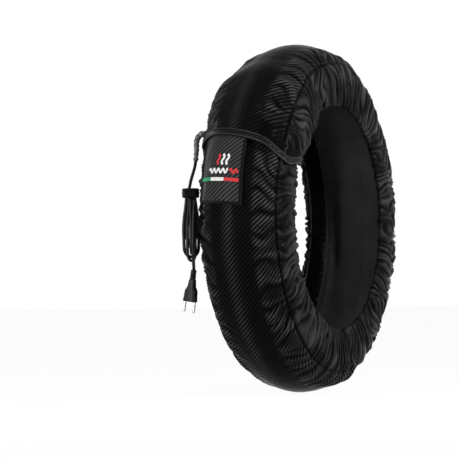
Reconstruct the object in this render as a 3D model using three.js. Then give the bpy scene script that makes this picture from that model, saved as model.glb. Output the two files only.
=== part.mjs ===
// Motorcycle tire warmer: a quilted strip wrapped round a front tire, with gathered side skirts,
// a bound flap end with a pull tab, and a mains cord folded into a hank.
// Millimetres. The wheel axle lies along Y, +Z is up, and the origin is the wheel centre.
// The flap and its pull tab face -X. The cord leaves the far shoulder, on the +Y side.
import * as THREE from "three";

// Tire and layers
const CROWN_RADIUS = 312; // outer radius of the cover at the middle of the tread
const CROWN_RISE = 72; // how far the crown stands above the widest line
const HALF_WIDTH = 76.5; // from the middle plane to the widest line
const SIDE_DROP = 100; // how far the oval of the sidewall reaches inwards
const CLEARANCE = 0.3; // gap kept between pieces that touch
const CLOTH = 1.2; // coated outer cloth
const FELT = 6.5; // insulation
const HEATER = 1.2; // heating ribbon
const LINING = 1.0; // inner lining
const SEAM_ANGLE = 62; // section angle of the seam between tread and skirt, degrees
const HEM_ANGLE = 113; // section angle of the skirt's hem, degrees
const SECTION_ROWS = [0, 21, 42, SEAM_ANGLE, 75, 88, 101, HEM_ANGLE];

// Wrap, flap and gathers, in degrees round the wheel above the -X side
const FLAP_EDGE = 25.5;
const FLAP_LIFT = 8; // how far the flap stands off the layer below it
const FLAP_RAMP = 14; // degrees over which the flap rises
const FLAP_DROOP = 2.6; // how far the flap's edge hangs lower on the sidewalls
const FLAP_TILT = 0.045; // slant of the edge, degrees of wrap for each degree of section
const FOLDS = 50; // gathers in one turn
const FOLD_DEPTH = 6.5; // height of the tallest gather
const FOLD_START = 42; // section angle at which the gathers begin
const FOLD_FULL = 88; // section angle of full depth
const FOLD_PLAIN = 10.5; // degrees left plain at the strip's ends
const FOLD_FADE = 8; // degrees over which the gathers then grow
const STATIONS_PER_TURN = 2 * FOLDS;
const STEP = 360 / STATIONS_PER_TURN;
const SKIRT_OVERLAP = 2; // steps by which a skirt passes its own flap edge
const TONGUE_OVERLAP = 7; // steps by which the tread passes under the flap

// Hem with its elastic
const HEM_DEPTH = 6.4; // outer face to the face of the turned-in flange
const FLANGE_ANGLE = 5; // degrees of section that the flange reaches up
const ELASTIC_DIAMETER = 3.2;
const ELASTIC_SIDES = 6;

// Inner layers
const INNER_STATIONS = 51;
const INNER_START = 49; // where the inner layers end, degrees
const INNER_SPAN = 357;
const FELT_ANGLE = 59.5;
const LINING_WALL_ANGLE = 0.9; // width of the lining's turned-up edge, degrees of section
const HEATER_WIDTH = 5;
const HEATER_REACH = 45; // section angle where the heating ribbon turns
const HEATER_RUN_STEP = 3; // inner stations between two runs

// Bindings, tapes and tab
const BINDING_WIDTH = 11;
const BINDING_THICKNESS = 0.8;
const BINDING_REACH = 106;
const TAPE_START = 30.6;
const TAPE_END = 46;
const TAPE_REACH = 40;
const LOOP_PILE = 2.1; // thickness of the loop tape below the flap
const TAB_LOW = 3.4; // lower edge of the tab, degrees
const TAB_HIGH = 29.6; // sewn edge of the tab under the flap, degrees
const TAB_SLANT = 0.024; // degrees of wrap for each degree of section
const TAB_NEAR = -17.5; // section angles of the tab's two sides
const TAB_FAR = 49;
const TAB_THICKNESS = 2;
const TAB_EDGING = 4.6; // width of the tape round the tab
const PATCH_THICKNESS = 1.25; // loop and hook patches behind the tab
const PATCH_LOW = 6;
const PATCH_HIGH = 20;
const PATCH_NEAR = -10;
const PATCH_FAR = 40;
const STRIPE_ANGLE = 11; // height of the striped ribbon on the tab, degrees
const STRIPE_WIDTH = 6.2;
const STRIPE_THICKNESS = 0.6;

// Thermostat and its lead
const THERMOSTAT_LOW = 53;
const THERMOSTAT_HIGH = 56.5;
const THERMOSTAT_REACH = 9;
const THERMOSTAT_HEIGHT = 4.6;
const LEAD_DIAMETER = 2.5;
const LEAD_HIGH = 3.2; // height of the inner lead's middle over the tongue
const LEAD_LOW = 1.6; // its height at the thermostat

// Cord outlet on the far shoulder
const OUTLET_ANGLE = 32.4; // degrees round the wheel
const OUTLET_SECTION = 71; // section angle
const OUTLET_PATCH_HALF = 2.6; // half the patch's reach round the wheel, degrees
const OUTLET_PATCH_RISE = 7; // half the patch's reach across, degrees of section
const GLAND_RADIUS = 8;
const GLAND_HEIGHT = 3;
const BOOT_START_RADIUS = 5.6;
const BOOT_END_RADIUS = 3.9;
const BOOT_SIDES = 12;

// Cord, hank and plug, hung from the place where the cord leaves the cover
const CORD_DIAMETER = 5.6;
const CORD_SIDES = 8;
const BUNDLE_AHEAD = 36.9; // from the outlet to the hank's middle, towards -X
const BUNDLE_BESIDE = 12.9; // the same towards +Y
const BUNDLE_TURN = -66.75; // turn of the hank's broad side about Z, degrees
const TIE_DROP = 94.4; // from the outlet down to the tie's top
const TIE_HEIGHT = 15;
const TIE_WALL = 2.4;
const HANK_LENGTH = 128.5; // from the tie's top to the hank's foot
const HANK_WIDTH = 30;
const HANK_DEPTH = 32;
const NECK_WIDTH = 15;
const PLUG_DROP = 11.5; // from the hank's foot down to the plug's relief
const PLUG_BACK = 4.1; // from the hank's middle to the plug, towards -Y
const PLUG_LEAN = 8.6; // degrees off the vertical
const PLUG_TURN = -28; // turn about its own axis, degrees
const RELIEF_LENGTH = 16;
const RELIEF_RADIUS = 5.2;
const RELIEF_RIBS = 4;
const PLUG_LENGTH = 39;
const PLUG_WIDTH = 26;
const PLUG_DEPTH = 15;
const PLUG_NECK = 11;
const PIN_PITCH = 19;
const PIN_RADIUS = 2.4;
const PIN_LENGTH = 19;
const PIN_SIDES = 12;

const WIDEST_RADIUS = CROWN_RADIUS - CROWN_RISE;
const FELT_TOP = -(CLOTH + CLEARANCE);
const HEATER_TOP = FELT_TOP - FELT - CLEARANCE;
const LINING_TOP = HEATER_TOP - HEATER - CLEARANCE;
const SEAM_GAP = 0.25; // the seam's clearance as degrees of section
const LAST_STATION = STATIONS_PER_TURN + TONGUE_OVERLAP;
const SKIRT_STATION = STATIONS_PER_TURN + SKIRT_OVERLAP;
const HOOK_BOTTOM = CLEARANCE + LOOP_PILE + CLEARANCE;
const TAB_BOTTOM = 2 * PATCH_THICKNESS + 3 * CLEARANCE;
const TAB_TOP = TAB_BOTTOM + TAB_THICKNESS;

const radians = THREE.MathUtils.degToRad;
const smooth = THREE.MathUtils.smoothstep;

const finish = (color, roughness, metalness = 0) => new THREE.MeshStandardMaterial({ color, roughness, metalness });
const FINISHES = {
  cover: finish(0x17171a, 0.42),
  trim: finish(0x101012, 0.6),
  elastic: finish(0x222224, 0.8),
  felt: finish(0x8d8f90, 0.95),
  heater: finish(0x9a4a2c, 0.5),
  lining: finish(0x26272a, 0.85),
  plastic: finish(0x151516, 0.45),
  grey: finish(0x4b4c4f, 0.35),
  stripe: finish(0x1d8a5c, 0.7),
  steel: finish(0xc6c8ca, 0.25, 1),
};

const group = new THREE.Group();

function addMesh(name, geometry, material, parent = group) {
  const mesh = new THREE.Mesh(geometry, material);
  mesh.name = name;
  parent.add(mesh);
  return mesh;
}

// One corner of the faceted section: radius from the axle and distance from the middle plane
function sectionCorner(angle, offset) {
  const reach = Math.abs(angle) <= 90 ? CROWN_RISE : SIDE_DROP;
  const turn = radians(angle);
  return {
    radius: WIDEST_RADIUS + (reach + offset) * Math.cos(turn),
    across: (HALF_WIDTH + offset) * Math.sin(turn),
  };
}

// The two section rows that a section angle lies between, and how far it is from the first
function nearestRows(angle) {
  const size = Math.abs(angle);
  const above = SECTION_ROWS.findIndex((row, i) => i > 0 && size <= row);
  const last = above < 0 ? SECTION_ROWS.length - 1 : above;
  const low = SECTION_ROWS[last - 1];
  const high = SECTION_ROWS[last];
  return { low, high, share: (size - low) / (high - low) };
}

// Any point of the faceted section lies on the straight line between its two row corners
function sectionPoint(angle, offset) {
  const side = angle < 0 ? -1 : 1;
  const { low, high, share } = nearestRows(angle);
  const from = sectionCorner(low, offset);
  const to = sectionCorner(high, offset);
  return {
    radius: THREE.MathUtils.lerp(from.radius, to.radius, share),
    across: side * THREE.MathUtils.lerp(from.across, to.across, share),
  };
}

// A point of the wrap from its angle round the wheel, its section angle and its height above the cover
function wrapPoint(around, angle, offset) {
  const { radius, across } = sectionPoint(angle, offset);
  const turn = radians(around);
  return new THREE.Vector3(-radius * Math.cos(turn), across, radius * Math.sin(turn));
}

// Direction straight out of the wrap's surface
function wrapNormal(around, angle, offset) {
  const round = new THREE.Vector3().subVectors(
    wrapPoint(around + 1, angle, offset),
    wrapPoint(around - 1, angle, offset),
  );
  const across = new THREE.Vector3().subVectors(
    wrapPoint(around, angle + 1, offset),
    wrapPoint(around, angle - 1, offset),
  );
  return round.cross(across).normalize();
}

// The section rows strictly between two angles, with both ends added
function rowsBetween(start, end) {
  const rows = SECTION_ROWS.flatMap((row) => (row === 0 ? [0] : [-row, row]));
  const inside = rows.filter((row) => row > start + 0.5 && row < end - 0.5);
  return [start, ...inside.sort((a, b) => a - b), end];
}

function steps(start, end, count) {
  return Array.from({ length: count + 1 }, (unused, i) => start + ((end - start) * i) / count);
}

// How much lower or higher the flap's edge lies at a section angle, straight from row to row
function edgeShift(angle) {
  const side = angle < 0 ? -1 : 1;
  const shiftAt = (size) => {
    const droop = FLAP_DROOP * Math.sin(Math.PI * smooth(size, 30, HEM_ANGLE));
    return side * FLAP_TILT * size * (1 - smooth(size, 70, HEM_ANGLE)) - droop;
  };
  const { low, high, share } = nearestRows(angle);
  return THREE.MathUtils.lerp(shiftAt(low), shiftAt(high), share);
}

const flapEdgeAt = (angle) => FLAP_EDGE + edgeShift(angle);

// Angle round the wheel of a station. Station 0 is the flap's edge, and the strip runs upwards from it.
function stationAngle(station, angle) {
  const distance = station * STEP;
  return FLAP_EDGE + distance + edgeShift(angle) * (1 - smooth(distance, 0, TAPE_END - FLAP_EDGE));
}

function flapLift(station) {
  const distance = station * STEP;
  const rampStart = TONGUE_OVERLAP * STEP;
  return FLAP_LIFT * (1 - smooth(distance, rampStart, rampStart + FLAP_RAMP));
}

// A fixed number between 0 and 1 for each fold, so that no two neighbours are alike
function foldVariation(fold) {
  const value = Math.sin(fold * 12.9898 + 4.1) * 43758.5453;
  return value - Math.floor(value);
}

// Height of the gathers: every second station is a crest, flat at the strip's ends, the crown and the hem
function gatherHeight(station, angle, lastStation) {
  if (station % 2 === 0) {
    return 0;
  }
  const size = Math.abs(angle);
  const across = smooth(size, FOLD_START, FOLD_FULL) * (1 - smooth(size, 96, HEM_ANGLE - 1));
  const fromEnd = Math.min(station, lastStation - station) * STEP;
  const ends = smooth(fromEnd, FOLD_PLAIN, FOLD_PLAIN + FOLD_FADE);
  const fold = (station % STATIONS_PER_TURN) + (angle < 0 ? STATIONS_PER_TURN : 0);
  return FOLD_DEPTH * (0.6 + 0.4 * foldVariation(fold)) * across * ends;
}

// A closed solid from equal rings of points. Flipped edges split their quads along the other diagonal,
// so that the two faces of a thin gathered wall stay parallel.
function solidFromRings(rings, flipped = [], closed = false) {
  const size = rings[0].length;
  const points = rings.flat();
  const indices = [];
  const spans = closed ? rings.length : rings.length - 1;
  for (let i = 0; i < spans; i += 1) {
    for (let j = 0; j < size; j += 1) {
      const a = i * size + j;
      const b = i * size + ((j + 1) % size);
      const c = ((i + 1) % rings.length) * size + ((j + 1) % size);
      const d = ((i + 1) % rings.length) * size + j;
      if (flipped[j]) {
        indices.push(a, b, d, b, c, d);
      } else {
        indices.push(a, b, c, a, c, d);
      }
    }
  }
  if (!closed) {
    indices.push(...capIndices(rings[0], 0, false));
    indices.push(...capIndices(rings[rings.length - 1], (rings.length - 1) * size, true));
  }
  return facedOutwards(points, indices);
}

// Triangles that close the end of a sweep, worked out in the ring's own plane
function capIndices(ring, first, reverse) {
  const normal = new THREE.Vector3();
  const centre = new THREE.Vector3();
  ring.forEach((point) => centre.addScaledVector(point, 1 / ring.length));
  ring.forEach((point, i) => {
    const next = ring[(i + 1) % ring.length];
    normal.add(new THREE.Vector3().subVectors(point, centre).cross(new THREE.Vector3().subVectors(next, centre)));
  });
  normal.normalize();
  const side = Math.abs(normal.z) < 0.9 ? new THREE.Vector3(0, 0, 1) : new THREE.Vector3(1, 0, 0);
  const u = new THREE.Vector3().crossVectors(side, normal).normalize();
  const v = new THREE.Vector3().crossVectors(normal, u);
  const outline = ring.map((point) => new THREE.Vector2(point.dot(u), point.dot(v)));
  const faces = THREE.ShapeUtils.triangulateShape(outline, []);
  return faces.flatMap(([a, b, c]) => (reverse ? [first + a, first + b, first + c] : [first + a, first + c, first + b]));
}

// The mesh, with all of its faces turned over if its volume comes out negative
function facedOutwards(points, indices) {
  let volume = 0;
  const cross = new THREE.Vector3();
  for (let i = 0; i < indices.length; i += 3) {
    cross.crossVectors(points[indices[i + 1]], points[indices[i + 2]]);
    volume += points[indices[i]].dot(cross);
  }
  if (volume < 0) {
    indices.reverse();
  }
  const geometry = new THREE.BufferGeometry();
  geometry.setFromPoints(points);
  geometry.setIndex(indices);
  geometry.computeVertexNormals();
  return geometry;
}

// A gathered length of the wrap. The outline lists section angles and heights, once round the wall,
// and its plain corners stay out of the gathers.
function wrapStrip(outline, lastStation) {
  const flipped = outline.map((corner, j) => outline[(j + 1) % outline.length].angle < corner.angle);
  const rings = [];
  for (let station = 0; station <= lastStation; station += 1) {
    const lift = flapLift(station);
    rings.push(outline.map(({ angle, offset, plain }) => {
      const gather = plain ? 0 : gatherHeight(station, angle, lastStation);
      return wrapPoint(stationAngle(station, angle), angle, offset + lift + gather);
    }));
  }
  return solidFromRings(rings, flipped);
}

// An even layer between two heights that follows the wheel from one angle to another
function curvedPatch(low, high, near, far, bottom, top, count, slant = 0) {
  const rows = rowsBetween(near, far);
  const rings = steps(low, high, count).map((around) => [
    ...rows.map((angle) => wrapPoint(around + slant * angle, angle, top)),
    ...rows.toReversed().map((angle) => wrapPoint(around + slant * angle, angle, bottom)),
  ]);
  return solidFromRings(rings);
}

// A flat ribbon laid on the wheel along points given as [around, angle]
function ribbon(path, width, bottom, top) {
  const middle = path.map(([around, angle]) => wrapPoint(around, angle, (bottom + top) / 2));
  const rings = middle.map((point, i) => {
    const [around, angle] = path[i];
    const up = new THREE.Vector3().subVectors(wrapPoint(around, angle, top), point);
    const before = new THREE.Vector3().subVectors(point, middle[Math.max(i - 1, 0)]).normalize();
    const after = new THREE.Vector3().subVectors(middle[Math.min(i + 1, middle.length - 1)], point).normalize();
    const along = new THREE.Vector3().addVectors(before, after).normalize();
    const turn = Math.max(along.dot(after), along.dot(before), 0.5);
    const side = new THREE.Vector3().crossVectors(along, wrapNormal(around, angle, bottom)).normalize();
    side.multiplyScalar(width / 2 / turn);
    return [
      point.clone().add(side).add(up),
      point.clone().sub(side).add(up),
      point.clone().sub(side).sub(up),
      point.clone().add(side).sub(up),
    ];
  });
  return solidFromRings(rings);
}

// A regular polygon of points round the origin
function polygon(radius, sides) {
  return Array.from({ length: sides }, (unused, i) => {
    const turn = (2 * Math.PI * (i + 0.5)) / sides;
    return new THREE.Vector2(radius * Math.cos(turn), radius * Math.sin(turn));
  });
}

function tube(points, radius, sides, count) {
  const curve = new THREE.CatmullRomCurve3(points, false, "centripetal");
  const shape = new THREE.Shape(polygon(radius, sides));
  return new THREE.ExtrudeGeometry(shape, { steps: count, bevelEnabled: false, extrudePath: curve });
}

// A round solid whose radius changes along a curve, with flat ends
function taperedTube(curve, radiusAt, sides, count) {
  const frames = curve.computeFrenetFrames(count, false);
  const rings = steps(0, 1, count).map((share, i) => {
    const centre = curve.getPointAt(share);
    return polygon(radiusAt(share), sides).map(({ x, y }) =>
      centre.clone().addScaledVector(frames.normals[i], x).addScaledVector(frames.binormals[i], y));
  });
  return solidFromRings(rings);
}

// Tread cover: the full strip from the flap's edge round to the tongue under it
function treadCover() {
  const rows = rowsBetween(-SEAM_ANGLE, SEAM_ANGLE);
  const outline = [
    ...rows.map((angle) => ({ angle, offset: 0 })),
    ...rows.toReversed().map((angle) => ({ angle, offset: -CLOTH })),
  ];
  return wrapStrip(outline, LAST_STATION);
}

// Side skirt: a gathered wall whose hem turns in round the elastic
function sideSkirt(side) {
  const rows = rowsBetween(SEAM_ANGLE + SEAM_GAP, HEM_ANGLE);
  const foot = HEM_ANGLE - 0.7;
  const tip = HEM_ANGLE - FLANGE_ANGLE;
  const inner = rows.slice(0, -1).toReversed();
  const outline = [
    ...rows.map((angle) => ({ angle, offset: 0 })),
    { angle: HEM_ANGLE, offset: -HEM_DEPTH, plain: true },
    { angle: tip, offset: -HEM_DEPTH, plain: true },
    { angle: tip, offset: CLOTH - HEM_DEPTH, plain: true },
    { angle: foot, offset: CLOTH - HEM_DEPTH, plain: true },
    { angle: foot, offset: -CLOTH, plain: true },
    ...inner.map((angle) => ({ angle, offset: -CLOTH })),
  ];
  return wrapStrip(outline.map((corner) => ({ ...corner, angle: side * corner.angle })), SKIRT_STATION);
}

// Hem elastic: a round cord in the turned-in hem
function hemElastic(side) {
  const middle = -(CLOTH + (HEM_DEPTH - 2 * CLOTH) / 2);
  const angle = side * (HEM_ANGLE - 2.2);
  const rings = [];
  for (let station = 1; station < SKIRT_STATION; station += 1) {
    const level = flapLift(station - 1) === flapLift(station + 1);
    if (level && station % 2 === 0) {
      continue;
    }
    const around = stationAngle(station, angle);
    const centre = wrapPoint(around, angle, middle + flapLift(station));
    const out = new THREE.Vector3(-Math.cos(radians(around)), 0, Math.sin(radians(around)));
    rings.push(polygon(ELASTIC_DIAMETER / 2, ELASTIC_SIDES).map(({ x, y }) =>
      centre.clone().addScaledVector(out, x).add(new THREE.Vector3(0, y, 0))));
  }
  return solidFromRings(rings);
}

// End binding: a folded tape that wraps the flap's edge from hem to hem
function endBinding() {
  const outerTop = FLAP_LIFT + CLEARANCE + BINDING_THICKNESS;
  const innerTop = FLAP_LIFT - CLOTH - CLEARANCE;
  const innerBottom = innerTop - BINDING_THICKNESS;
  const corners = [
    [BINDING_WIDTH, outerTop],
    [-CLEARANCE - BINDING_THICKNESS, outerTop],
    [-CLEARANCE - BINDING_THICKNESS, innerBottom],
    [BINDING_WIDTH, innerBottom],
    [BINDING_WIDTH, innerTop],
    [-CLEARANCE, innerTop],
    [-CLEARANCE, FLAP_LIFT + CLEARANCE],
    [BINDING_WIDTH, FLAP_LIFT + CLEARANCE],
  ];
  const rings = rowsBetween(-BINDING_REACH, BINDING_REACH).map((angle) => {
    const { radius } = sectionPoint(angle, FLAP_LIFT);
    return corners.map(([ahead, height]) => {
      const around = flapEdgeAt(angle) + THREE.MathUtils.radToDeg(ahead / radius);
      return wrapPoint(around, angle, height);
    });
  });
  return solidFromRings(rings);
}

// Felt: one even layer under the tread cover, butted where its ends meet
function insulationFelt() {
  const end = INNER_START - INNER_SPAN;
  return curvedPatch(INNER_START, end, -FELT_ANGLE, FELT_ANGLE, FELT_TOP - FELT, FELT_TOP, INNER_STATIONS);
}

// Heating element: one ribbon that runs to and fro across the tread
function heatingElement() {
  const innerStep = INNER_SPAN / INNER_STATIONS;
  const path = [];
  let side = 1;
  for (let station = 1; station < INNER_STATIONS; station += HEATER_RUN_STEP) {
    const around = INNER_START - station * innerStep;
    const run = rowsBetween(-HEATER_REACH, HEATER_REACH).map((angle) => [around, side * angle]);
    path.push(...run);
    if (station + HEATER_RUN_STEP < INNER_STATIONS) {
      for (let link = 1; link < HEATER_RUN_STEP; link += 1) {
        path.push([around - link * innerStep, side * HEATER_REACH]);
      }
    }
    side = -side;
  }
  return ribbon(path, HEATER_WIDTH, HEATER_TOP - HEATER, HEATER_TOP);
}

// Lining: lies on the tire, with edges turned up round the felt to meet the cover
function innerLining() {
  const edge = SEAM_ANGLE;
  const wall = edge - LINING_WALL_ANGLE;
  const bottom = LINING_TOP - LINING;
  const rows = rowsBetween(-edge, edge);
  const inside = rowsBetween(-wall, wall);
  const outline = [
    ...rows.map((angle) => ({ angle, offset: bottom })),
    { angle: edge, offset: FELT_TOP },
    { angle: wall, offset: FELT_TOP },
    ...inside.toReversed().map((angle) => ({ angle, offset: LINING_TOP })),
    { angle: -wall, offset: FELT_TOP },
    { angle: -edge, offset: FELT_TOP },
  ];
  const rings = steps(INNER_START, INNER_START - INNER_SPAN, INNER_STATIONS).map((around) =>
    outline.map(({ angle, offset }) => wrapPoint(around, angle, offset)));
  return solidFromRings(rings);
}

// The tape round three sides of the pull tab
function tabBinding() {
  const halfAngle = (size) => THREE.MathUtils.radToDeg(TAB_EDGING / 2 / size);
  const near = TAB_NEAR + halfAngle(CROWN_RISE);
  const far = TAB_FAR - halfAngle(HALF_WIDTH);
  const low = TAB_LOW + halfAngle(CROWN_RADIUS);
  const path = [
    ...steps(FLAP_EDGE - 1.2 + TAB_SLANT * near, low + TAB_SLANT * near, 6).map((around) => [around, near]),
    ...rowsBetween(near, far).slice(1).map((angle) => [low + TAB_SLANT * angle, angle]),
    ...steps(low + TAB_SLANT * far, FLAP_EDGE - 0.4 + edgeShift(far), 6).slice(1).map((around) => [around, far]),
  ];
  return ribbon(path, TAB_EDGING, TAB_TOP + CLEARANCE, TAB_TOP + CLEARANCE + BINDING_THICKNESS);
}

// The striped ribbon across the tab, between its two edge tapes
function stripeRibbon() {
  const inset = THREE.MathUtils.radToDeg((TAB_EDGING + 2 * CLEARANCE) / CROWN_RISE);
  const path = rowsBetween(TAB_NEAR + inset, TAB_FAR - inset).map((angle) => [STRIPE_ANGLE + TAB_SLANT * angle, angle]);
  return ribbon(path, STRIPE_WIDTH, TAB_TOP + CLEARANCE, TAB_TOP + CLEARANCE + STRIPE_THICKNESS);
}

// Where the cord leaves the cover, and the direction straight out of it
const OUTLET_TOP = FLAP_LIFT + CLEARANCE + CLOTH + CLEARANCE;
const outletPoint = wrapPoint(OUTLET_ANGLE, OUTLET_SECTION, OUTLET_TOP);
const outletNormal = wrapNormal(OUTLET_ANGLE, OUTLET_SECTION, OUTLET_TOP);
const besideOutlet = (x, y, z) => outletPoint.clone().add(new THREE.Vector3(x, y, z));

// Places of the hank, the tie and the plug, measured from the outlet
const BUNDLE = new THREE.Vector2(outletPoint.x - BUNDLE_AHEAD, outletPoint.y + BUNDLE_BESIDE);
const TIE_TOP = outletPoint.z - TIE_DROP;
const HANK_BOTTOM = TIE_TOP - HANK_LENGTH;
const PLUG_TOP = new THREE.Vector3(BUNDLE.x, BUNDLE.y - PLUG_BACK, HANK_BOTTOM - PLUG_DROP);

function glandGeometry() {
  const geometry = new THREE.CylinderGeometry(GLAND_RADIUS - 1.2, GLAND_RADIUS, GLAND_HEIGHT, 16);
  geometry.translate(0, GLAND_HEIGHT / 2, 0);
  return geometry;
}

// Strain relief: an elbow that leaves the gland square to it and ends hanging down
const bootPoints = [
  outletPoint.clone().addScaledVector(outletNormal, GLAND_HEIGHT + CLEARANCE),
  outletPoint.clone().addScaledVector(outletNormal, GLAND_HEIGHT + 4),
  besideOutlet(-4.4, 12.4, -3.9),
  besideOutlet(-7.4, 14.4, -12.9),
  besideOutlet(-10.9, 12.9, -25.9),
  besideOutlet(-17.4, 11.8, -45.9),
];
const bootCurve = new THREE.CatmullRomCurve3(bootPoints, false, "centripetal");
const bootRadius = (share) => THREE.MathUtils.lerp(BOOT_START_RADIUS, BOOT_END_RADIUS, Math.min(1, share * 1.15));

// The free cord's own points: from the strain relief to the tie, and from the hank to the plug
const bootTip = bootCurve.getPointAt(1);
const bootDirection = bootCurve.getTangentAt(1);
const leadPoints = [
  bootTip.clone().addScaledVector(bootDirection, CLEARANCE),
  besideOutlet(-20.9, 12.2, -56.9),
  besideOutlet(-26.4, 13.6, -68.9),
  besideOutlet(-31.9, 14.8, -80.9),
  new THREE.Vector3(BUNDLE.x, BUNDLE.y + 2.1, TIE_TOP + CLEARANCE),
];
const tailPoints = [
  new THREE.Vector3(BUNDLE.x, BUNDLE.y - 5.5, HANK_BOTTOM - CLEARANCE),
  new THREE.Vector3(BUNDLE.x, BUNDLE.y - 5, HANK_BOTTOM - PLUG_DROP / 2),
  PLUG_TOP.clone().add(new THREE.Vector3(0, 0, CLEARANCE)),
];

// Hank: the folded cord's outer shape, narrow in the tie and full towards its round foot
function hankGeometry() {
  const shape = new THREE.Shape();
  const half = HANK_WIDTH / 2;
  const neck = NECK_WIDTH / 2;
  const shoulder = TIE_TOP - TIE_HEIGHT - 4;
  shape.moveTo(-neck, TIE_TOP - 1);
  shape.lineTo(-neck, TIE_TOP - TIE_HEIGHT - 1);
  shape.quadraticCurveTo(-half * 0.7, shoulder, -half, shoulder - 55);
  shape.lineTo(-half, HANK_BOTTOM + half);
  shape.absarc(0, HANK_BOTTOM + half, half, Math.PI, 2 * Math.PI, false);
  shape.lineTo(half, shoulder - 55);
  shape.quadraticCurveTo(half * 0.7, shoulder, neck, TIE_TOP - TIE_HEIGHT - 1);
  shape.lineTo(neck, TIE_TOP - 1);
  const geometry = new THREE.ExtrudeGeometry(shape, { depth: HANK_DEPTH, bevelEnabled: false, curveSegments: 6 });
  geometry.translate(0, 0, -HANK_DEPTH / 2);
  geometry.rotateX(Math.PI / 2);
  return geometry;
}

function roundedRectangle(path, width, depth, radius) {
  const x = width / 2 - radius;
  const y = depth / 2 - radius;
  path.absarc(x, y, radius, 0, Math.PI / 2, false);
  path.absarc(-x, y, radius, Math.PI / 2, Math.PI, false);
  path.absarc(-x, -y, radius, Math.PI, 1.5 * Math.PI, false);
  path.absarc(x, -y, radius, 1.5 * Math.PI, 2 * Math.PI, false);
  path.closePath();
  return path;
}

// Tie: a strap round the neck of the hank
function tieGeometry() {
  const innerWidth = NECK_WIDTH + 2 * CLEARANCE;
  const innerDepth = HANK_DEPTH + 2 * CLEARANCE;
  const shape = roundedRectangle(new THREE.Shape(), innerWidth + 2 * TIE_WALL, innerDepth + 2 * TIE_WALL, 5);
  const x = innerWidth / 2;
  const y = innerDepth / 2;
  const hole = new THREE.Path([[-x, -y], [-x, y], [x, y], [x, -y]].map(([u, v]) => new THREE.Vector2(u, v)));
  shape.holes.push(hole);
  const geometry = new THREE.ExtrudeGeometry(shape, { depth: TIE_HEIGHT, bevelEnabled: false, curveSegments: 4 });
  geometry.translate(0, 0, TIE_TOP - TIE_HEIGHT);
  return geometry;
}

// Plug relief: a ribbed sleeve, turned about its own axis
function reliefGeometry() {
  const profile = [new THREE.Vector2(0, 0), new THREE.Vector2(RELIEF_RADIUS - 1, 0)];
  const pitch = RELIEF_LENGTH / RELIEF_RIBS;
  for (let rib = 0; rib < RELIEF_RIBS; rib += 1) {
    const top = -rib * pitch;
    profile.push(new THREE.Vector2(RELIEF_RADIUS, top - 0.25 * pitch));
    profile.push(new THREE.Vector2(RELIEF_RADIUS, top - 0.7 * pitch));
    profile.push(new THREE.Vector2(RELIEF_RADIUS - 1.2, top - pitch));
  }
  profile.push(new THREE.Vector2(0, -RELIEF_LENGTH));
  const geometry = new THREE.LatheGeometry(profile.toReversed(), 12);
  geometry.rotateX(Math.PI / 2);
  return geometry;
}

// Plug body: a rounded block that widens from its neck to the face with the pins
function plugBody() {
  const levels = [
    { down: 0, width: PLUG_NECK, depth: PLUG_NECK * 0.9 },
    { down: 0.34 * PLUG_LENGTH, width: 0.55 * PLUG_WIDTH, depth: 0.82 * PLUG_DEPTH },
    { down: 0.52 * PLUG_LENGTH, width: 0.86 * PLUG_WIDTH, depth: PLUG_DEPTH },
    { down: PLUG_LENGTH, width: PLUG_WIDTH, depth: PLUG_DEPTH },
  ];
  const rings = levels.map(({ down, width, depth }) => {
    const shape = roundedRectangle(new THREE.Shape(), width, depth, 0.4 * Math.min(width, depth));
    return shape.getPoints(3).slice(0, -1).map(({ x, y }) => new THREE.Vector3(x, y, -down));
  });
  return solidFromRings(rings);
}

// Pin: a round-ended rod
function pinGeometry() {
  const tip = PIN_RADIUS * 0.8;
  const profile = [
    new THREE.Vector2(0, -PIN_LENGTH),
    new THREE.Vector2(PIN_RADIUS * 0.6, -PIN_LENGTH + tip * 0.2),
    new THREE.Vector2(PIN_RADIUS, -PIN_LENGTH + tip),
    new THREE.Vector2(PIN_RADIUS, 0),
    new THREE.Vector2(0, 0),
  ];
  const geometry = new THREE.LatheGeometry(profile, PIN_SIDES);
  geometry.rotateX(Math.PI / 2);
  return geometry;
}

// Outer cover
addMesh("tread_cover", treadCover(), FINISHES.cover);
addMesh("side_skirt_near", sideSkirt(-1), FINISHES.cover);
addMesh("side_skirt_far", sideSkirt(1), FINISHES.cover);
addMesh("hem_elastic_near", hemElastic(-1), FINISHES.elastic);
addMesh("hem_elastic_far", hemElastic(1), FINISHES.elastic);
addMesh("end_binding", endBinding(), FINISHES.trim);

// Inner layers
addMesh("insulation_felt", insulationFelt(), FINISHES.felt);
addMesh("heating_element", heatingElement(), FINISHES.heater);
addMesh("inner_lining", innerLining(), FINISHES.lining);
addMesh("thermostat", curvedPatch(
  THERMOSTAT_LOW, THERMOSTAT_HIGH, -THERMOSTAT_REACH, THERMOSTAT_REACH,
  FELT_TOP + CLEARANCE, FELT_TOP + CLEARANCE + THERMOSTAT_HEIGHT, 1,
), FINISHES.plastic);
addMesh("supply_lead", tube([
  wrapPoint(OUTLET_ANGLE + 2, OUTLET_SECTION - 1, LEAD_HIGH),
  wrapPoint(38, 60, LEAD_HIGH),
  wrapPoint(45, 52, LEAD_HIGH),
  wrapPoint(51, 42, LEAD_HIGH),
  wrapPoint(54.4, 28, LEAD_LOW + 0.6),
  wrapPoint(54.7, THERMOSTAT_REACH + 0.8, LEAD_LOW),
], LEAD_DIAMETER / 2, 6, 18), FINISHES.plastic);

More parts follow.
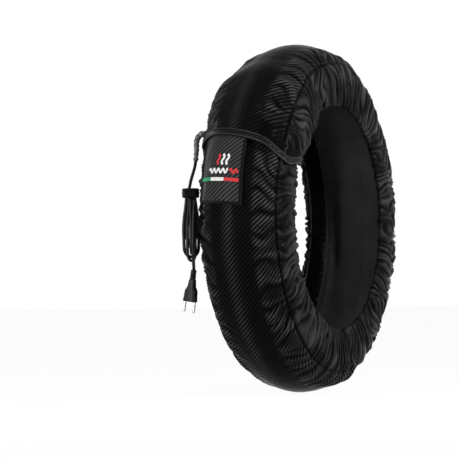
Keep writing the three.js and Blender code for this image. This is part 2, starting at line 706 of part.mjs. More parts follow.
// Closure under the flap
addMesh("flap_loop_tape", curvedPatch(
  TAPE_START, TAPE_END, -TAPE_REACH, TAPE_REACH, CLEARANCE, CLEARANCE + LOOP_PILE, 5,
), FINISHES.trim);
addMesh("flap_hook_tape", curvedPatch(
  TAPE_START, TAPE_END, -TAPE_REACH, TAPE_REACH, HOOK_BOTTOM, FLAP_LIFT - CLOTH - CLEARANCE, 5,
), FINISHES.trim);

// Pull tab with its patches and trim
addMesh("tab_loop_patch", curvedPatch(
  PATCH_LOW, PATCH_HIGH, PATCH_NEAR, PATCH_FAR, CLEARANCE, CLEARANCE + PATCH_THICKNESS, 4, TAB_SLANT,
), FINISHES.trim);
addMesh("tab_hook_patch", curvedPatch(
  PATCH_LOW, PATCH_HIGH, PATCH_NEAR, PATCH_FAR,
  2 * CLEARANCE + PATCH_THICKNESS, TAB_BOTTOM - CLEARANCE, 4, TAB_SLANT,
), FINISHES.trim);
addMesh("pull_tab", curvedPatch(
  TAB_LOW, TAB_HIGH, TAB_NEAR, TAB_FAR, TAB_BOTTOM, TAB_TOP, 8, TAB_SLANT,
), FINISHES.cover);
addMesh("tab_binding", tabBinding(), FINISHES.trim);
addMesh("stripe_ribbon", stripeRibbon(), FINISHES.stripe);

// Cord outlet
addMesh("cord_outlet_patch", curvedPatch(
  OUTLET_ANGLE - OUTLET_PATCH_HALF, OUTLET_ANGLE + OUTLET_PATCH_HALF,
  OUTLET_SECTION - OUTLET_PATCH_RISE, OUTLET_SECTION + OUTLET_PATCH_RISE,
  FLAP_LIFT + CLEARANCE, FLAP_LIFT + CLEARANCE + CLOTH, 2,
), FINISHES.trim);
const gland = addMesh("cord_gland", glandGeometry(), FINISHES.plastic);
gland.position.copy(outletPoint);
gland.quaternion.setFromUnitVectors(new THREE.Vector3(0, 1, 0), outletNormal);
addMesh("cord_strain_relief", taperedTube(bootCurve, bootRadius, BOOT_SIDES, 14), FINISHES.grey);

// Cord and hank
addMesh("cord_lead", tube(leadPoints, CORD_DIAMETER / 2, CORD_SIDES, 5), FINISHES.plastic);
addMesh("cord_tail", tube(tailPoints, CORD_DIAMETER / 2, CORD_SIDES, 2), FINISHES.plastic);
const bundle = new THREE.Group();
bundle.position.set(BUNDLE.x, BUNDLE.y, 0);
bundle.rotation.z = radians(BUNDLE_TURN);
group.add(bundle);
addMesh("cord_hank", hankGeometry(), FINISHES.plastic, bundle);
addMesh("cord_tie", tieGeometry(), FINISHES.trim, bundle);

// Plug
const plug = new THREE.Group();
plug.position.copy(PLUG_TOP);
plug.rotation.order = "XYZ";
plug.rotation.set(radians(PLUG_LEAN), 0, radians(BUNDLE_TURN + PLUG_TURN));
group.add(plug);
addMesh("plug_relief", reliefGeometry(), FINISHES.plastic, plug);
const body = addMesh("plug_body", plugBody(), FINISHES.plastic, plug);
body.position.z = -RELIEF_LENGTH - CLEARANCE;
for (const [name, side] of [["plug_pin_left", -1], ["plug_pin_right", 1]]) {
  const pin = addMesh(name, pinGeometry(), FINISHES.steel, plug);
  pin.position.set((side * PIN_PITCH) / 2, 0, -RELIEF_LENGTH - PLUG_LENGTH - 2 * CLEARANCE);
}

export default group;
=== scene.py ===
"""Looks of a motorcycle tire warmer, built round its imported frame.

Everything is in metres. The ring's axis lies along Y, +Z is up and the origin is the ring's centre.
A place on the wrap is given by its angle round the axis above -X, its section angle (0 at the
middle of the tread, plus towards +Y) and its height above the cover. Angles are in degrees.
"""

import logging
import math
from dataclasses import dataclass, field
from enum import Enum

import bmesh
import bpy
import numpy as np
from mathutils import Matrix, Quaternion, Vector


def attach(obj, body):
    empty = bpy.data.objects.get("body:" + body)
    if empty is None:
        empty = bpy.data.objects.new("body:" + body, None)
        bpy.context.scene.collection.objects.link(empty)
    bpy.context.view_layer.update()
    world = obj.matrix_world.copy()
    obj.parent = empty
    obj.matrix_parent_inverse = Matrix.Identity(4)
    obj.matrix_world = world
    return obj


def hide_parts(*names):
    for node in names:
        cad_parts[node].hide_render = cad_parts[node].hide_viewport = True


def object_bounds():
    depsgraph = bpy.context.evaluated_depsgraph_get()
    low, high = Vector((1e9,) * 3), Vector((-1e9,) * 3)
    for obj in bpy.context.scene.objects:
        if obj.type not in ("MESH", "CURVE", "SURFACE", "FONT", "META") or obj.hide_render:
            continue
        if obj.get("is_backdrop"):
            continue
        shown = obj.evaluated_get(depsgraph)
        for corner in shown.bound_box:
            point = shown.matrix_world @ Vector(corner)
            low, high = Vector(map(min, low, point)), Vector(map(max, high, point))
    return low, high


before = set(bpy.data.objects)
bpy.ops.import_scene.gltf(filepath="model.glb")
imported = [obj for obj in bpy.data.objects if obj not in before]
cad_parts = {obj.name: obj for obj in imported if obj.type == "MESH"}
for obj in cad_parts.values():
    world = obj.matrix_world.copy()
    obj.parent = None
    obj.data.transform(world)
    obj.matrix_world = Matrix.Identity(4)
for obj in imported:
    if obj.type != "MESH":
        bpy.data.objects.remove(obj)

LOG = logging.getLogger("tire_warmer")
Array = np.ndarray
Material = bpy.types.Material
Socket = bpy.types.NodeSocket
Triple = tuple[float, float, float]
RIGHT = np.array([0.3947, -0.9188, 0.0])  # level direction across the hank's broad side
FRONT = np.array([-0.9188, -0.3947, 0.0])  # level direction out of the hank's broad side
UP = np.array([0.0, 0.0, 1.0])


def smoothstep(value: Array, low: float, high: float) -> Array:
    """Rise from 0 at low to 1 at high, as 3x^2 - 2x^3 of the share between them."""
    share = np.clip((np.asarray(value, float) - low) / (high - low), 0, 1)
    return share * share * (3 - 2 * share)


def lattice_noise(around: Array, across: Array, columns: int, rows: int, seed: int) -> Array:
    """Smooth noise from -1 to 1 that closes on itself after one turn.

    Random values stand on a lattice, and each place blends its four nearest by smoothstep weights.

    Args:
        around: Angle round the axis.
        across: Share of the way across, from 0 to 1.
        columns: Lattice columns in one turn.
        rows: Lattice rows across.
        seed: Seed of the random values.

    Returns:
        The noise at each place.
    """
    values = np.random.default_rng(seed).uniform(-1, 1, (columns, rows + 2))
    x = np.mod(around, 360) / 360 * columns
    y = np.clip(across, 0, 1) * rows
    column, row = np.floor(x).astype(int), np.floor(y).astype(int)
    u, v = x - column, y - row
    u, v = u * u * (3 - 2 * u), v * v * (3 - 2 * v)
    low = values[column % columns, row] * (1 - u) + values[(column + 1) % columns, row] * u
    high = values[column % columns, row + 1] * (1 - u) + values[(column + 1) % columns, row + 1] * u
    return low * (1 - v) + high * v


def unit(vectors: Array) -> Array:
    """Each vector divided by its length."""
    return vectors / np.maximum(np.linalg.norm(vectors, axis=-1, keepdims=True), 1e-12)


def smooth_line(points: Array, count: int) -> Array:
    """A smooth line through points, a Catmull-Rom spline, respaced to even steps.

    Args:
        points: Control points, one row each.
        count: Number of points returned.

    Returns:
        Points evenly spaced along the line.
    """
    points = np.asarray(points, float)
    ends = np.vstack([2 * points[0] - points[1], points, 2 * points[-1] - points[-2]])
    share = np.linspace(0, len(points) - 1, 24 * len(points))
    index = np.minimum(share.astype(int), len(points) - 2)
    t = (share - index)[:, None]
    a, b, c, d = (ends[index + i] for i in range(4))
    square, cube = 2 * a - 5 * b + 4 * c - d, 3 * b - a - 3 * c + d
    return respaced(0.5 * (2 * b + (c - a) * t + square * t**2 + cube * t**3), count)


def respaced(line: Array, count: int) -> Array:
    """The same line with its points at even distances along it.

    Args:
        line: Points along the line.
        count: Number of points returned.

    Returns:
        The evenly spaced points.
    """
    along = np.concatenate([[0], np.cumsum(np.linalg.norm(np.diff(line, axis=0), axis=1))])
    at = np.linspace(0, along[-1], count)
    return np.stack([np.interp(at, along, line[:, k]) for k in range(3)], axis=1)


def line_length(line: Array) -> float:
    """Sum of the distances between neighbouring points."""
    return float(np.linalg.norm(np.diff(line, axis=0), axis=1).sum())


class MeshParts:
    """Grids of points collected into one closed mesh, with a UV for each corner in metres."""

    def __init__(self) -> None:
        """Start with no grids."""
        self.points: list[Array] = []
        self.faces: list[Array] = []
        self.uvs: list[Array] = []
        self.crests: list[Array] = []
        self.count = 0

    def grid(self, points: Array, uv: Array | None = None, closed: bool = False,
             crest: Array | float = 0.5) -> "MeshParts":
        """Add a grid of quads.

        Args:
            points: Rows by columns by 3.
            uv: Rows by columns (one more if closed) by 2, or None for distances along the grid.
            closed: Whether the last column joins the first.
            crest: How high each point stands in its folds, from 0 in a valley to 1 on a ridge.

        Returns:
            This collection.
        """
        rows, columns = points.shape[:2]
        wide = columns + 1 if closed else columns
        if uv is None:
            ring = np.concatenate([points, points[:, :1]], axis=1) if closed else points
            across = np.linalg.norm(np.diff(ring, axis=1), axis=2).mean(0)
            along = np.linalg.norm(np.diff(points, axis=0), axis=2).mean(1)
            u = np.concatenate([[0], np.cumsum(across)])
            v = np.concatenate([[0], np.cumsum(along)])
            uv = paired(u[None, :], v[:, None])
        i, j = np.meshgrid(np.arange(rows - 1), np.arange(wide - 1), indexing="ij")
        i, j = i.ravel(), j.ravel()
        nxt = (j + 1) % columns
        here, above = i * columns, (i + 1) * columns
        quad = np.stack([here + j, above + j, above + nxt, here + nxt], 1)
        corner = np.stack([uv[i, j], uv[i + 1, j], uv[i + 1, j + 1], uv[i, j + 1]], 1)
        self.points.append(points.reshape(-1, 3))
        self.faces.append(quad + self.count)
        self.uvs.append(corner)
        self.crests.append(np.broadcast_to(crest, (rows, columns)).ravel())
        self.count += rows * columns
        return self

    def shell(self, points: Array, thickness: float | Array, uv: Array | None = None,
              crest: Array | float = 0.5) -> "MeshParts":
        """Add a wall: the grid, a copy set back along the surface's normal, and a rim between them.

        Args:
            points: Rows by columns by 3, the outer face.
            thickness: One thickness, or one for each point.
            uv: A UV as for grid.
            crest: A crest as for grid, for the outer face.

        Returns:
            This collection.
        """
        du = np.gradient(points, axis=0)
        dv = np.gradient(points, axis=1)
        normal = unit(np.cross(du, dv))
        back = points - normal * np.asarray(thickness)[..., None]
        self.grid(points, uv, crest=crest)
        self.grid(back[:, ::-1], None if uv is None else uv[:, ::-1])
        for edge, twin in ((points[0], back[0]), (back[-1], points[-1]), (back[:, 0], points[:, 0]),
                           (points[:, -1], back[:, -1])):
            self.grid(np.stack([twin, edge], axis=1))
        return self

    def sweep(self, rings: Array, uv: Array | None = None) -> "MeshParts":
        """Add a solid carried through closed rings, with both ends drawn in to a point.

        Args:
            rings: Rings by sides by 3.
            uv: Rings by one more than the sides by 2, or None.

        Returns:
            This collection.
        """
        first = np.repeat(rings[:1].mean(1, keepdims=True), rings.shape[1], axis=1)
        last = np.repeat(rings[-1:].mean(1, keepdims=True), rings.shape[1], axis=1)
        whole = np.concatenate([first, rings, last])
        if uv is not None:
            uv = np.concatenate([uv[:1], uv, uv[-1:]])
        return self.grid(whole, uv, closed=True)

    def loop(self, rings: Array) -> "MeshParts":
        """Add a solid whose closed rings run round and meet the first one again."""
        return self.grid(np.concatenate([rings, rings[:1]]), closed=True)

    def mesh(self, name: str) -> bpy.types.Mesh:
        """Build the mesh, turned so that its volume is positive, with doubled points merged.

        Args:
            name: The name of the mesh.

        Returns:
            The mesh, shaded smooth.
        """
        points = np.concatenate(self.points)
        faces = np.concatenate(self.faces)
        uvs = np.concatenate(self.uvs)
        a, b, c, d = (points[faces[:, i]] for i in range(4))
        volume = (np.cross(a, b) * c).sum() + (np.cross(a, c) * d).sum()
        if volume < 0:
            faces, uvs = faces[:, ::-1], uvs[:, ::-1]
        mesh = bpy.data.meshes.new(name)
        mesh.vertices.add(len(points))
        mesh.loops.add(faces.size)
        mesh.polygons.add(len(faces))
        mesh.vertices.foreach_set("co", points.astype(np.float32).ravel())
        mesh.loops.foreach_set("vertex_index", faces.astype(np.int32).ravel())
        mesh.polygons.foreach_set("loop_start", np.arange(0, faces.size, 4, dtype=np.int32))
        mesh.update(calc_edges=True)
        layer = mesh.uv_layers.new(name="metres")
        layer.data.foreach_set("uv", uvs.astype(np.float32).ravel())
        # The crest drives painted shade in the fold valleys and painted highlight on the ridges in the cloth
        # finishes.
        crest = mesh.attributes.new("crest", "FLOAT", "POINT")
        crest.data.foreach_set("value", np.concatenate(self.crests).astype(np.float32))
        work = bmesh.new()
        work.from_mesh(mesh)
        bmesh.ops.remove_doubles(work, verts=work.verts, dist=1e-7)
        work.to_mesh(mesh)
        work.free()
        mesh.polygons.foreach_set("use_smooth", np.ones(len(mesh.polygons), bool))
        mesh.validate()
        return mesh


def ring_turns(sides: int) -> Array:
    """Even angles once round a ring, in radians."""
    return 2 * np.pi * np.arange(sides) / sides


def squared_ring(sides: int, power: float) -> tuple[Array, Array]:
    """A ring between a circle and a square: cos and sin to a power, each with its own sign.

    Args:
        sides: Points in the ring.
        power: The power; below 1 the ring grows squarer.

    Returns:
        The x and the y of each point.
    """
    turn = ring_turns(sides)
    x, y = np.cos(turn), np.sin(turn)
    return np.sign(x) * np.abs(x) ** power, np.sign(y) * np.abs(y) ** power


def paired(u: Array, v: Array) -> Array:
    """A UV for each place of the grid that u and v span together."""
    return np.stack(np.broadcast_arrays(u, v), axis=-1)


def spokes(turn: Array, first: Array, second: Array) -> Array:
    """Directions round a ring: cos(turn) of the first and sin(turn) of the second."""
    return np.cos(turn)[:, None] * first[..., None, :] + np.sin(turn)[:, None] * second[..., None, :]


def tube_rings(line: Array, radius: Array, sides: int, side: Array) -> Array:
    """Rings round a line: each stands square to it and is turned by a fixed side direction.

    Args:
        line: Points down the middle.
        radius: One radius, or one for each point.
        sides: Points in a ring.
        side: A direction, or one for each point, never along the line.

    Returns:
        Rings by sides by 3.
    """
    along = unit(np.gradient(line, axis=0))
    first = unit(np.cross(along, np.broadcast_to(side, along.shape)))
    second = np.cross(along, first)
    radius = np.broadcast_to(np.asarray(radius, float), (len(line),))
    return line[:, None] + spokes(ring_turns(sides), first, second) * radius[:, None, None]


def lathe_rings(profile: Array, sides: int, origin: Array, axis: Array, side: Array) -> Array:
    """Rings of a turned shape: each profile row is a radius and a distance along the axis.

    Args:
        profile: Rows of a radius and a distance.
        sides: Points in a ring.
        origin: Place on the axis where the distance is 0.
        axis: Direction of the axis.
        side: A direction that the rings are turned by, never along the axis.

    Returns:
        Rings by sides by 3.
    """
    axis = unit(np.asarray(axis, float))
    first = unit(np.cross(axis, side))
    second = np.cross(axis, first)
    spread = spokes(ring_turns(sides), first, second)
    return origin + profile[:, None, 1:] * axis + profile[:, None, :1] * spread[None]


# Finishes


class Nodes:
    """A material's node tree, with short calls that add nodes and join them."""

    def __init__(self, name: str) -> None:
        """Make the material with its shader and output.

        Args:
            name: The name of the material.
        """
        self.material = bpy.data.materials.new(name)
        self.material.use_nodes = True
        self.tree = self.material.node_tree
        self.tree.nodes.clear()
        self.shader = self.tree.nodes.new("ShaderNodeBsdfPrincipled")
        self.output = self.tree.nodes.new("ShaderNodeOutputMaterial")
        self.tree.links.new(self.shader.outputs[0], self.output.inputs[0])

    def join(self, value: object, socket: Socket) -> None:
        """Link an output to a socket, or set a plain value on it.

        Args:
            value: An output, or a plain value.
            socket: The socket that takes it.
        """
        if isinstance(value, Socket):
            self.tree.links.new(value, socket)
        else:
            socket.default_value = value

    def add(self, kind: str, inputs: dict | None = None, **settings: object) -> bpy.types.Node:
        """Add a node with its settings and inputs.

        Args:
            kind: The type of the node.
            inputs: Outputs or plain values, by the name or number of the input.
            settings: Properties of the node.

        Returns:
            The node.
        """
        node = self.tree.nodes.new(kind)
        for key, value in settings.items():
            setattr(node, key, value)
        for key, value in (inputs or {}).items():
            self.join(value, node.inputs[key])
        return node

    def math(self, operation: str, *values: object) -> Socket:
        """One arithmetic step on sockets or numbers.

        Args:
            operation: The name of the step.
            values: Its inputs, in order.

        Returns:
            The result.
        """
        node = self.add("ShaderNodeMath", operation=operation)
        for i, value in enumerate(values):
            self.join(value, node.inputs[i])
        return node.outputs[0]

    def wave(self, value: Socket, period: float) -> Socket:
        """A sine of that period, from -1 to 1."""
        return self.math("SINE", self.math("MULTIPLY", value, math.tau / period))

    def weave(self, u: Socket, v: Socket, period: float) -> Socket:
        """Crossed sines of one period, high and low in turn like woven threads."""
        return self.math("MULTIPLY", self.wave(u, period), self.wave(v, period))

    def place(self, uv: bool = True) -> Socket:
        """The UV in metres, or the object's own coordinates."""
        return self.add("ShaderNodeTexCoord").outputs["UV" if uv else "Object"]

    def split(self, vector: Socket) -> Socket:
        """The three numbers of a vector."""
        return self.add("ShaderNodeSeparateXYZ", {0: vector}).outputs

    def scaled(self, vector: Socket, scale: Triple) -> Socket:
        """The vector multiplied part by part."""
        return self.add("ShaderNodeVectorMath", {0: vector, 1: scale}, operation="MULTIPLY").outputs[0]

    def noise(self, vector: Socket, scale: float, detail: float = 3, rough: float = 0.5,
              distortion: float = 0) -> Socket:
        """Cloudy noise from 0 to 1.

        Args:
            vector: Where it is read.
            scale: Clouds in one unit of the vector.
            detail: Number of finer layers.
            rough: Weight of the finer layers.
            distortion: How far the clouds are bent.

        Returns:
            The noise.
        """
        inputs = {"Vector": vector, "Scale": scale, "Detail": detail, "Roughness": rough}
        inputs["Distortion"] = distortion
        return self.add("ShaderNodeTexNoise", inputs).outputs[0]

    def between(self, value: object, low: float, high: float,
                start: float = 0, end: float = 1) -> Socket:
        """The value carried from the range start to end into low to high."""
        inputs = {0: value, 1: start, 2: end, 3: low, 4: high}
        return self.add("ShaderNodeMapRange", inputs).outputs[0]

    def blend(self, share: object, first: tuple, second: tuple) -> Socket:
        """A colour between two, by share.

        Args:
            share: 0 for the first colour and 1 for the second.
            first: A colour or an output.
            second: A colour or an output.

        Returns:
            The blended colour.
        """
        node = self.add("ShaderNodeMix", data_type="RGBA")
        for value, index in ((share, 0), (first, 6), (second, 7)):
            self.join((*value, 1) if isinstance(value, tuple) else value, node.inputs[index])
        return node.outputs[2]

    def bump(self, height: object, distance: float, normal: object = None) -> Socket:
        """A bump of that height, on top of another where one is given.

        Args:
            height: The height.
            distance: What a height of 1 stands for, in metres.
            normal: The normal that it lies on, or None.

        Returns:
            The new normal.
        """
        node = self.add("ShaderNodeBump", {"Height": height, "Distance": distance, "Strength": 1.0})
        if normal is not None:
            self.join(normal, node.inputs["Normal"])
        return node.outputs[0]

    def crest(self, power: float, low: float, high: float) -> Socket:
        """A factor from low in the folds' valleys to high on their ridges; it paints shade into the valleys
        and highlight onto the ridges.
        """
        height = self.add("ShaderNodeAttribute", attribute_name="crest").outputs["Fac"]
        return self.between(self.math("POWER", height, power), low, high)

    def finish(self, **sockets: object) -> Material:
        """Set or link the shader's sockets by name, with _ for a space, and give the material.

        Args:
            sockets: Outputs or plain values, by socket name.

        Returns:
            The material.
        """
        for key, value in sockets.items():
            self.join(value, self.shader.inputs[key.replace("_", " ")])
        return self.material


def paler(colour: Triple, factor: float, lift: float = 0.0) -> Triple:
    """The colour multiplied by a factor, with a little added to each part."""
    return tuple(factor * part + lift for part in colour)


@dataclass(frozen=True)
class Twill:
    """Coated twill cloth: flat yarns, each over two and under two, whose steps climb in slanted rows."""

    name: str = "coated_twill"
    yarn: float = 0.00205
    dark: Triple = (0.0006, 0.0006, 0.0007)
    light: Triple = (0.044, 0.044, 0.046)
    smooth: float = 0.15
    rough: float = 0.50
    gloss: float = 0.011
    depth: float = 0.00002
    # The rims are painted highlights: pale lines in the rim colour where the tape's rolled edges catch the
    # light.
    rims: tuple[float, ...] = ()
    rim_width: float = 0.0008
    rim_highlight: Triple = (0.085, 0.085, 0.088)

    def material(self) -> Material:
        """Make the material from the piece's UV in metres.

        Returns:
            The material.
        """
        nodes = Nodes(self.name)
        place = nodes.place()
        u, v, _ = nodes.split(place)
        column = nodes.math("DIVIDE", u, self.yarn)
        row = nodes.math("DIVIDE", v, self.yarn)
        total = nodes.math("ADD", nodes.math("FLOOR", column), nodes.math("FLOOR", row))
        over = nodes.math("LESS_THAN", nodes.math("FLOORED_MODULO", total, 4.0), 1.5)
        x = nodes.math("SUBTRACT", nodes.math("FRACT", column), 0.5)
        y = nodes.math("SUBTRACT", nodes.math("FRACT", row), 0.5)
        crown = nodes.math("MULTIPLY", x, x)
        lying = nodes.math("MULTIPLY", y, y)
        chosen = nodes.add("ShaderNodeMix", {0: over, 2: lying, 3: crown}).outputs[0]
        yarn = nodes.between(chosen, 1.0, 0.0, 0.0, 0.25)
        cloud = nodes.noise(place, 30, 3)
        creases = nodes.noise(nodes.scaled(place, (20, 60, 1)), 1.2, 3, 0.5, 0.5)
        shade = nodes.math("MULTIPLY", over, nodes.between(cloud, 0.7, 1.0, 0.3, 0.7))
        # Painted shade and highlight: darker in the fold valleys, lighter on the ridges and down the middle
        # of the tread.
        shade = nodes.math("MULTIPLY", shade, nodes.crest(2.2, 0.03, 1.0))
        normal = nodes.bump(yarn, self.depth)
        normal = nodes.bump(creases, 0.0006, normal)
        colour = nodes.blend(shade, self.dark, self.light)
        # Painted highlight along each rim, broken into patches by the cloud.
        for rim in self.rims:
            gap = nodes.math("ABSOLUTE", nodes.math("SUBTRACT", v, rim))
            edge = nodes.between(gap, 1.0, 0.0, 0.0, self.rim_width)
            patchy = nodes.between(cloud, 0.3, 1.0, 0.35, 0.65)
            colour = nodes.blend(nodes.math("MULTIPLY", edge, patchy), colour, self.rim_highlight)
        return nodes.finish(
            Base_Color=colour,
            Roughness=nodes.between(over, self.rough, self.smooth),
            Specular_IOR_Level=self.gloss,
            Normal=normal,
        )


@dataclass(frozen=True)
class GatheredCloth:
    """Thin coated cloth with a soft shine, creased across its gathers."""

    name: str = "coated_gathered_cloth"
    dark: Triple = (0.0006, 0.0006, 0.0007)
    light: Triple = (0.046, 0.046, 0.049)
    rough: tuple[float, float] = (0.12, 0.20)
    gloss: float = 0.012
    weave: float = 0.0011

    def material(self) -> Material:
        """Make the material from the piece's UV in metres.

        Returns:
            The material.
        """
        nodes = Nodes(self.name)
        place = nodes.place()
        u, v, _ = nodes.split(place)
        threads = nodes.weave(u, v, self.weave)
        creases = nodes.noise(nodes.scaled(place, (24, 90, 1)), 1.3, 4, 0.55, 0.8)
        cells = {"Vector": nodes.scaled(place, (40, 95, 1)), "Scale": 1.7}
        crumple = nodes.add("ShaderNodeTexVoronoi", cells, feature="SMOOTH_F1").outputs[0]
        cloud = nodes.noise(place, 24, 3)
        # Painted shade and highlight: darker in the fold valleys, lighter on the ridges.
        shade = nodes.math("MULTIPLY", cloud, nodes.crest(3.6, 0.01, 1.0))
        normal = nodes.bump(threads, 0.000006)
        normal = nodes.bump(creases, 0.0008, normal)
        normal = nodes.bump(crumple, 0.0004, normal)
        return nodes.finish(
            Base_Color=nodes.blend(shade, self.dark, self.light),
            Roughness=nodes.between(creases, *self.rough, 0.35, 0.65),
            Specular_IOR_Level=self.gloss,
            Normal=normal,
        )


@dataclass(frozen=True)
class Tape:
    """Woven tape: fine ribs across its length."""

    name: str
    colour: Triple = (0.0025, 0.0025, 0.0028)
    rib: float = 0.0009
    rough: float = 0.55
    gloss: float = 0.06
    depth: float = 0.00012
    uv: bool = True

    def material(self) -> Material:
        """Make the material with crossing ribs and patches of paler colour on their high places.

        Returns:
            The material.
        """
        nodes = Nodes(self.name)
        place = nodes.place(self.uv)
        u, v, w = nodes.split(place)
        ribs = nodes.wave(nodes.math("ADD", v, w), self.rib)
        threads = nodes.wave(u, 1.7 * self.rib)
        height = nodes.math("ADD", ribs, nodes.math("MULTIPLY", threads, 0.5))
        cloud = nodes.noise(place, 60, 3)
        pale = paler(self.colour, 1.9, 0.002)
        patchy = nodes.math("MULTIPLY", cloud, nodes.between(height, 0.4, 1.0, -1.5, 1.5))
        return nodes.finish(
            Base_Color=nodes.blend(patchy, self.colour, pale),
            Roughness=nodes.between(cloud, self.rough - 0.08, self.rough + 0.1),
            Specular_IOR_Level=self.gloss,
            Normal=nodes.bump(height, self.depth),
        )


@dataclass(frozen=True)
class Fibre:
    """Matted fibres: felt, or the faces of hook and loop tape."""

    name: str
    colour: Triple
    grain: float = 900
    rough: float = 0.95
    depth: float = 0.0004
    sheen: float = 0.1

    def material(self) -> Material:
        """Make the material from the object's own coordinates.

        Returns:
            The material.
        """
        nodes = Nodes(self.name)
        place = nodes.place(False)
        hair = nodes.noise(place, self.grain, 4, 0.7)
        cloud = nodes.noise(place, 25, 3)
        pale = paler(self.colour, 1.6, 0.004)
        return nodes.finish(
            Base_Color=nodes.blend(nodes.math("MULTIPLY", hair, cloud), self.colour, pale),
            Roughness=nodes.between(hair, self.rough - 0.1, self.rough),
            Specular_IOR_Level=0.15,
            Sheen_Weight=self.sheen,
            Normal=nodes.bump(hair, self.depth),
        )


@dataclass(frozen=True)
class LiningCloth:
    """Plain woven lining in charcoal, matt, with a fine square weave."""

    name: str = "lining_weave"
    dark: Triple = (0.014, 0.0145, 0.016)
    light: Triple = (0.052, 0.053, 0.057)
    thread: float = 0.0014

    def material(self) -> Material:
        """Make the material from the piece's UV in metres.

        Returns:
            The material.
        """
        nodes = Nodes(self.name)
        place = nodes.place()
        u, v, _ = nodes.split(place)
        weave = nodes.weave(u, v, self.thread)
        cloud = nodes.noise(place, 18, 4)
        share = nodes.math("MULTIPLY", nodes.between(weave, 0.35, 1.0, -1, 1), cloud)
        slack = nodes.noise(nodes.scaled(place, (30, 60, 1)), 1, 4)
        return nodes.finish(
            Base_Color=nodes.blend(share, self.dark, self.light),
            Roughness=nodes.between(cloud, 0.6, 0.8),
            Specular_IOR_Level=0.06,
            Normal=nodes.bump(slack, 0.0012, nodes.bump(weave, 0.0001)),
        )


@dataclass(frozen=True)
class Moulded:
    """Moulded plastic or rubber with a fine grain and slight wear."""

    name: str
    colour: Triple
    rough: float = 0.4
    gloss: float = 0.35
    grain: float = 1400
    depth: float = 0.00003

    def material(self) -> Material:
        """Make the material from the object's own coordinates.

        Returns:
            The material.
        """
        nodes = Nodes(self.name)
        place = nodes.place(False)
        fine = nodes.noise(place, self.grain, 3, 0.6)
        cloud = nodes.noise(place, 45, 4)
        pale = paler(self.colour, 1.5, 0.003)
        return nodes.finish(
            Base_Color=nodes.blend(cloud, self.colour, pale),
            Roughness=nodes.between(cloud, self.rough - 0.07, self.rough + 0.09),
            Specular_IOR_Level=self.gloss,
            Normal=nodes.bump(fine, self.depth),
        )


@dataclass(frozen=True)
class PlatedMetal:
    """Nickel plating with fine turning marks."""

    name: str = "nickel_plating"
    colour: Triple = (0.62, 0.62, 0.61)

    def material(self) -> Material:
        """Make the material from the object's own coordinates.

        Returns:
            The material.
        """
        nodes = Nodes(self.name)
        place = nodes.place(False)
        marks = nodes.noise(nodes.scaled(place, (60, 60, 2600)), 1, 2)
        cloud = nodes.noise(place, 120, 3)
        return nodes.finish(
            Base_Color=nodes.blend(cloud, self.colour, paler(self.colour, 0.8)),
            Metallic=1.0,
            Roughness=nodes.between(cloud, 0.18, 0.32),
            Normal=nodes.bump(marks, 0.00002),
        )


@dataclass(frozen=True)
class Print:
    """Printed or woven coloured mark with the cloth's ribs showing through."""

    name: str
    colours: tuple[Triple, ...]
    width: float = 1.0
    rib: float = 0.0008

    def material(self) -> Material:
        """Make even bands of the colours along U, whose whole run is the width.

        Returns:
            The material.
        """
        nodes = Nodes(self.name)
        place = nodes.place()
        u, v, _ = nodes.split(place)
        ramp = nodes.add("ShaderNodeValToRGB", {0: nodes.math("DIVIDE", u, self.width)})
        ramp.color_ramp.interpolation = "CONSTANT"
        stops = ramp.color_ramp.elements
        while len(stops) < len(self.colours):
            stops.new(0.5)
        for i, colour in enumerate(self.colours):
            stops[i].position = i / len(self.colours)
            stops[i].color = (*colour, 1)
        if len(self.colours) == 1:
            stops[1].color = (*self.colours[0], 1)
        ribs = nodes.wave(v, self.rib)
        cloud = nodes.noise(place, 300, 3)
        wear = {"Color": ramp.outputs[0], "Value": nodes.between(cloud, 0.82, 1.04, 0.3, 0.7)}
        patchy = nodes.add("ShaderNodeHueSaturation", wear)
        return nodes.finish(
            Base_Color=patchy.outputs[0],
            Roughness=nodes.between(cloud, 0.55, 0.75),
            Specular_IOR_Level=0.2,
            Normal=nodes.bump(ribs, 0.00005),
        )


class Colour(Enum):
    """Colours of the prints and the striped ribbon."""

    GREEN = (0.012, 0.26, 0.11)
    WHITE = (0.74, 0.74, 0.72)
    RED = (0.52, 0.030, 0.036)


def made(finish: object) -> Material:
    """A dataclass field whose value is the finish's material."""
    return field(default_factory=finish.material)


@dataclass
class Finishes:
    """Every material, made once."""

    twill: Material = made(Twill())
    skirt: Material = made(GatheredCloth())
    tab: Material = made(Twill("tab_twill", dark=(0.010, 0.010, 0.011), light=(0.19, 0.19, 0.19)))
    # The binding's two rims are painted highlights along its rolled edges.
    binding: Material = made(
        Twill("binding_twill", 0.0018, smooth=0.20, gloss=0.05, rims=(0.0002, 0.0106))
    )
    edging: Material = made(Tape("edging_tape"))
    thread: Material = made(Tape("sewing_thread", (0.008, 0.008, 0.009), 0.0005, 0.8))
    elastic: Material = made(Tape("braided_elastic", (0.012, 0.012, 0.013), 0.0012, 0.7, uv=False))
    felt: Material = made(Fibre("wool_felt", (0.22, 0.22, 0.23)))
    hooks: Material = made(Fibre("hook_and_loop", (0.006, 0.006, 0.007), 1500))
    heater: Material = made(Tape("heating_ribbon", (0.30, 0.10, 0.045), 0.0016, uv=False))
    lining: Material = made(LiningCloth())
    plastic: Material = made(Moulded("black_moulding", (0.0035, 0.0035, 0.0038), gloss=0.16))
    grey: Material = made(Moulded("grey_moulding", (0.040, 0.041, 0.044), 0.22, 0.4))
    rubber: Material = made(Moulded("cord_rubber", (0.0042, 0.0042, 0.0046), 0.28, 0.14))
    metal: Material = made(PlatedMetal())
    white: Material = made(Print("white_print", (Colour.WHITE.value,)))
    red: Material = made(Print("red_print", (Colour.RED.value,)))


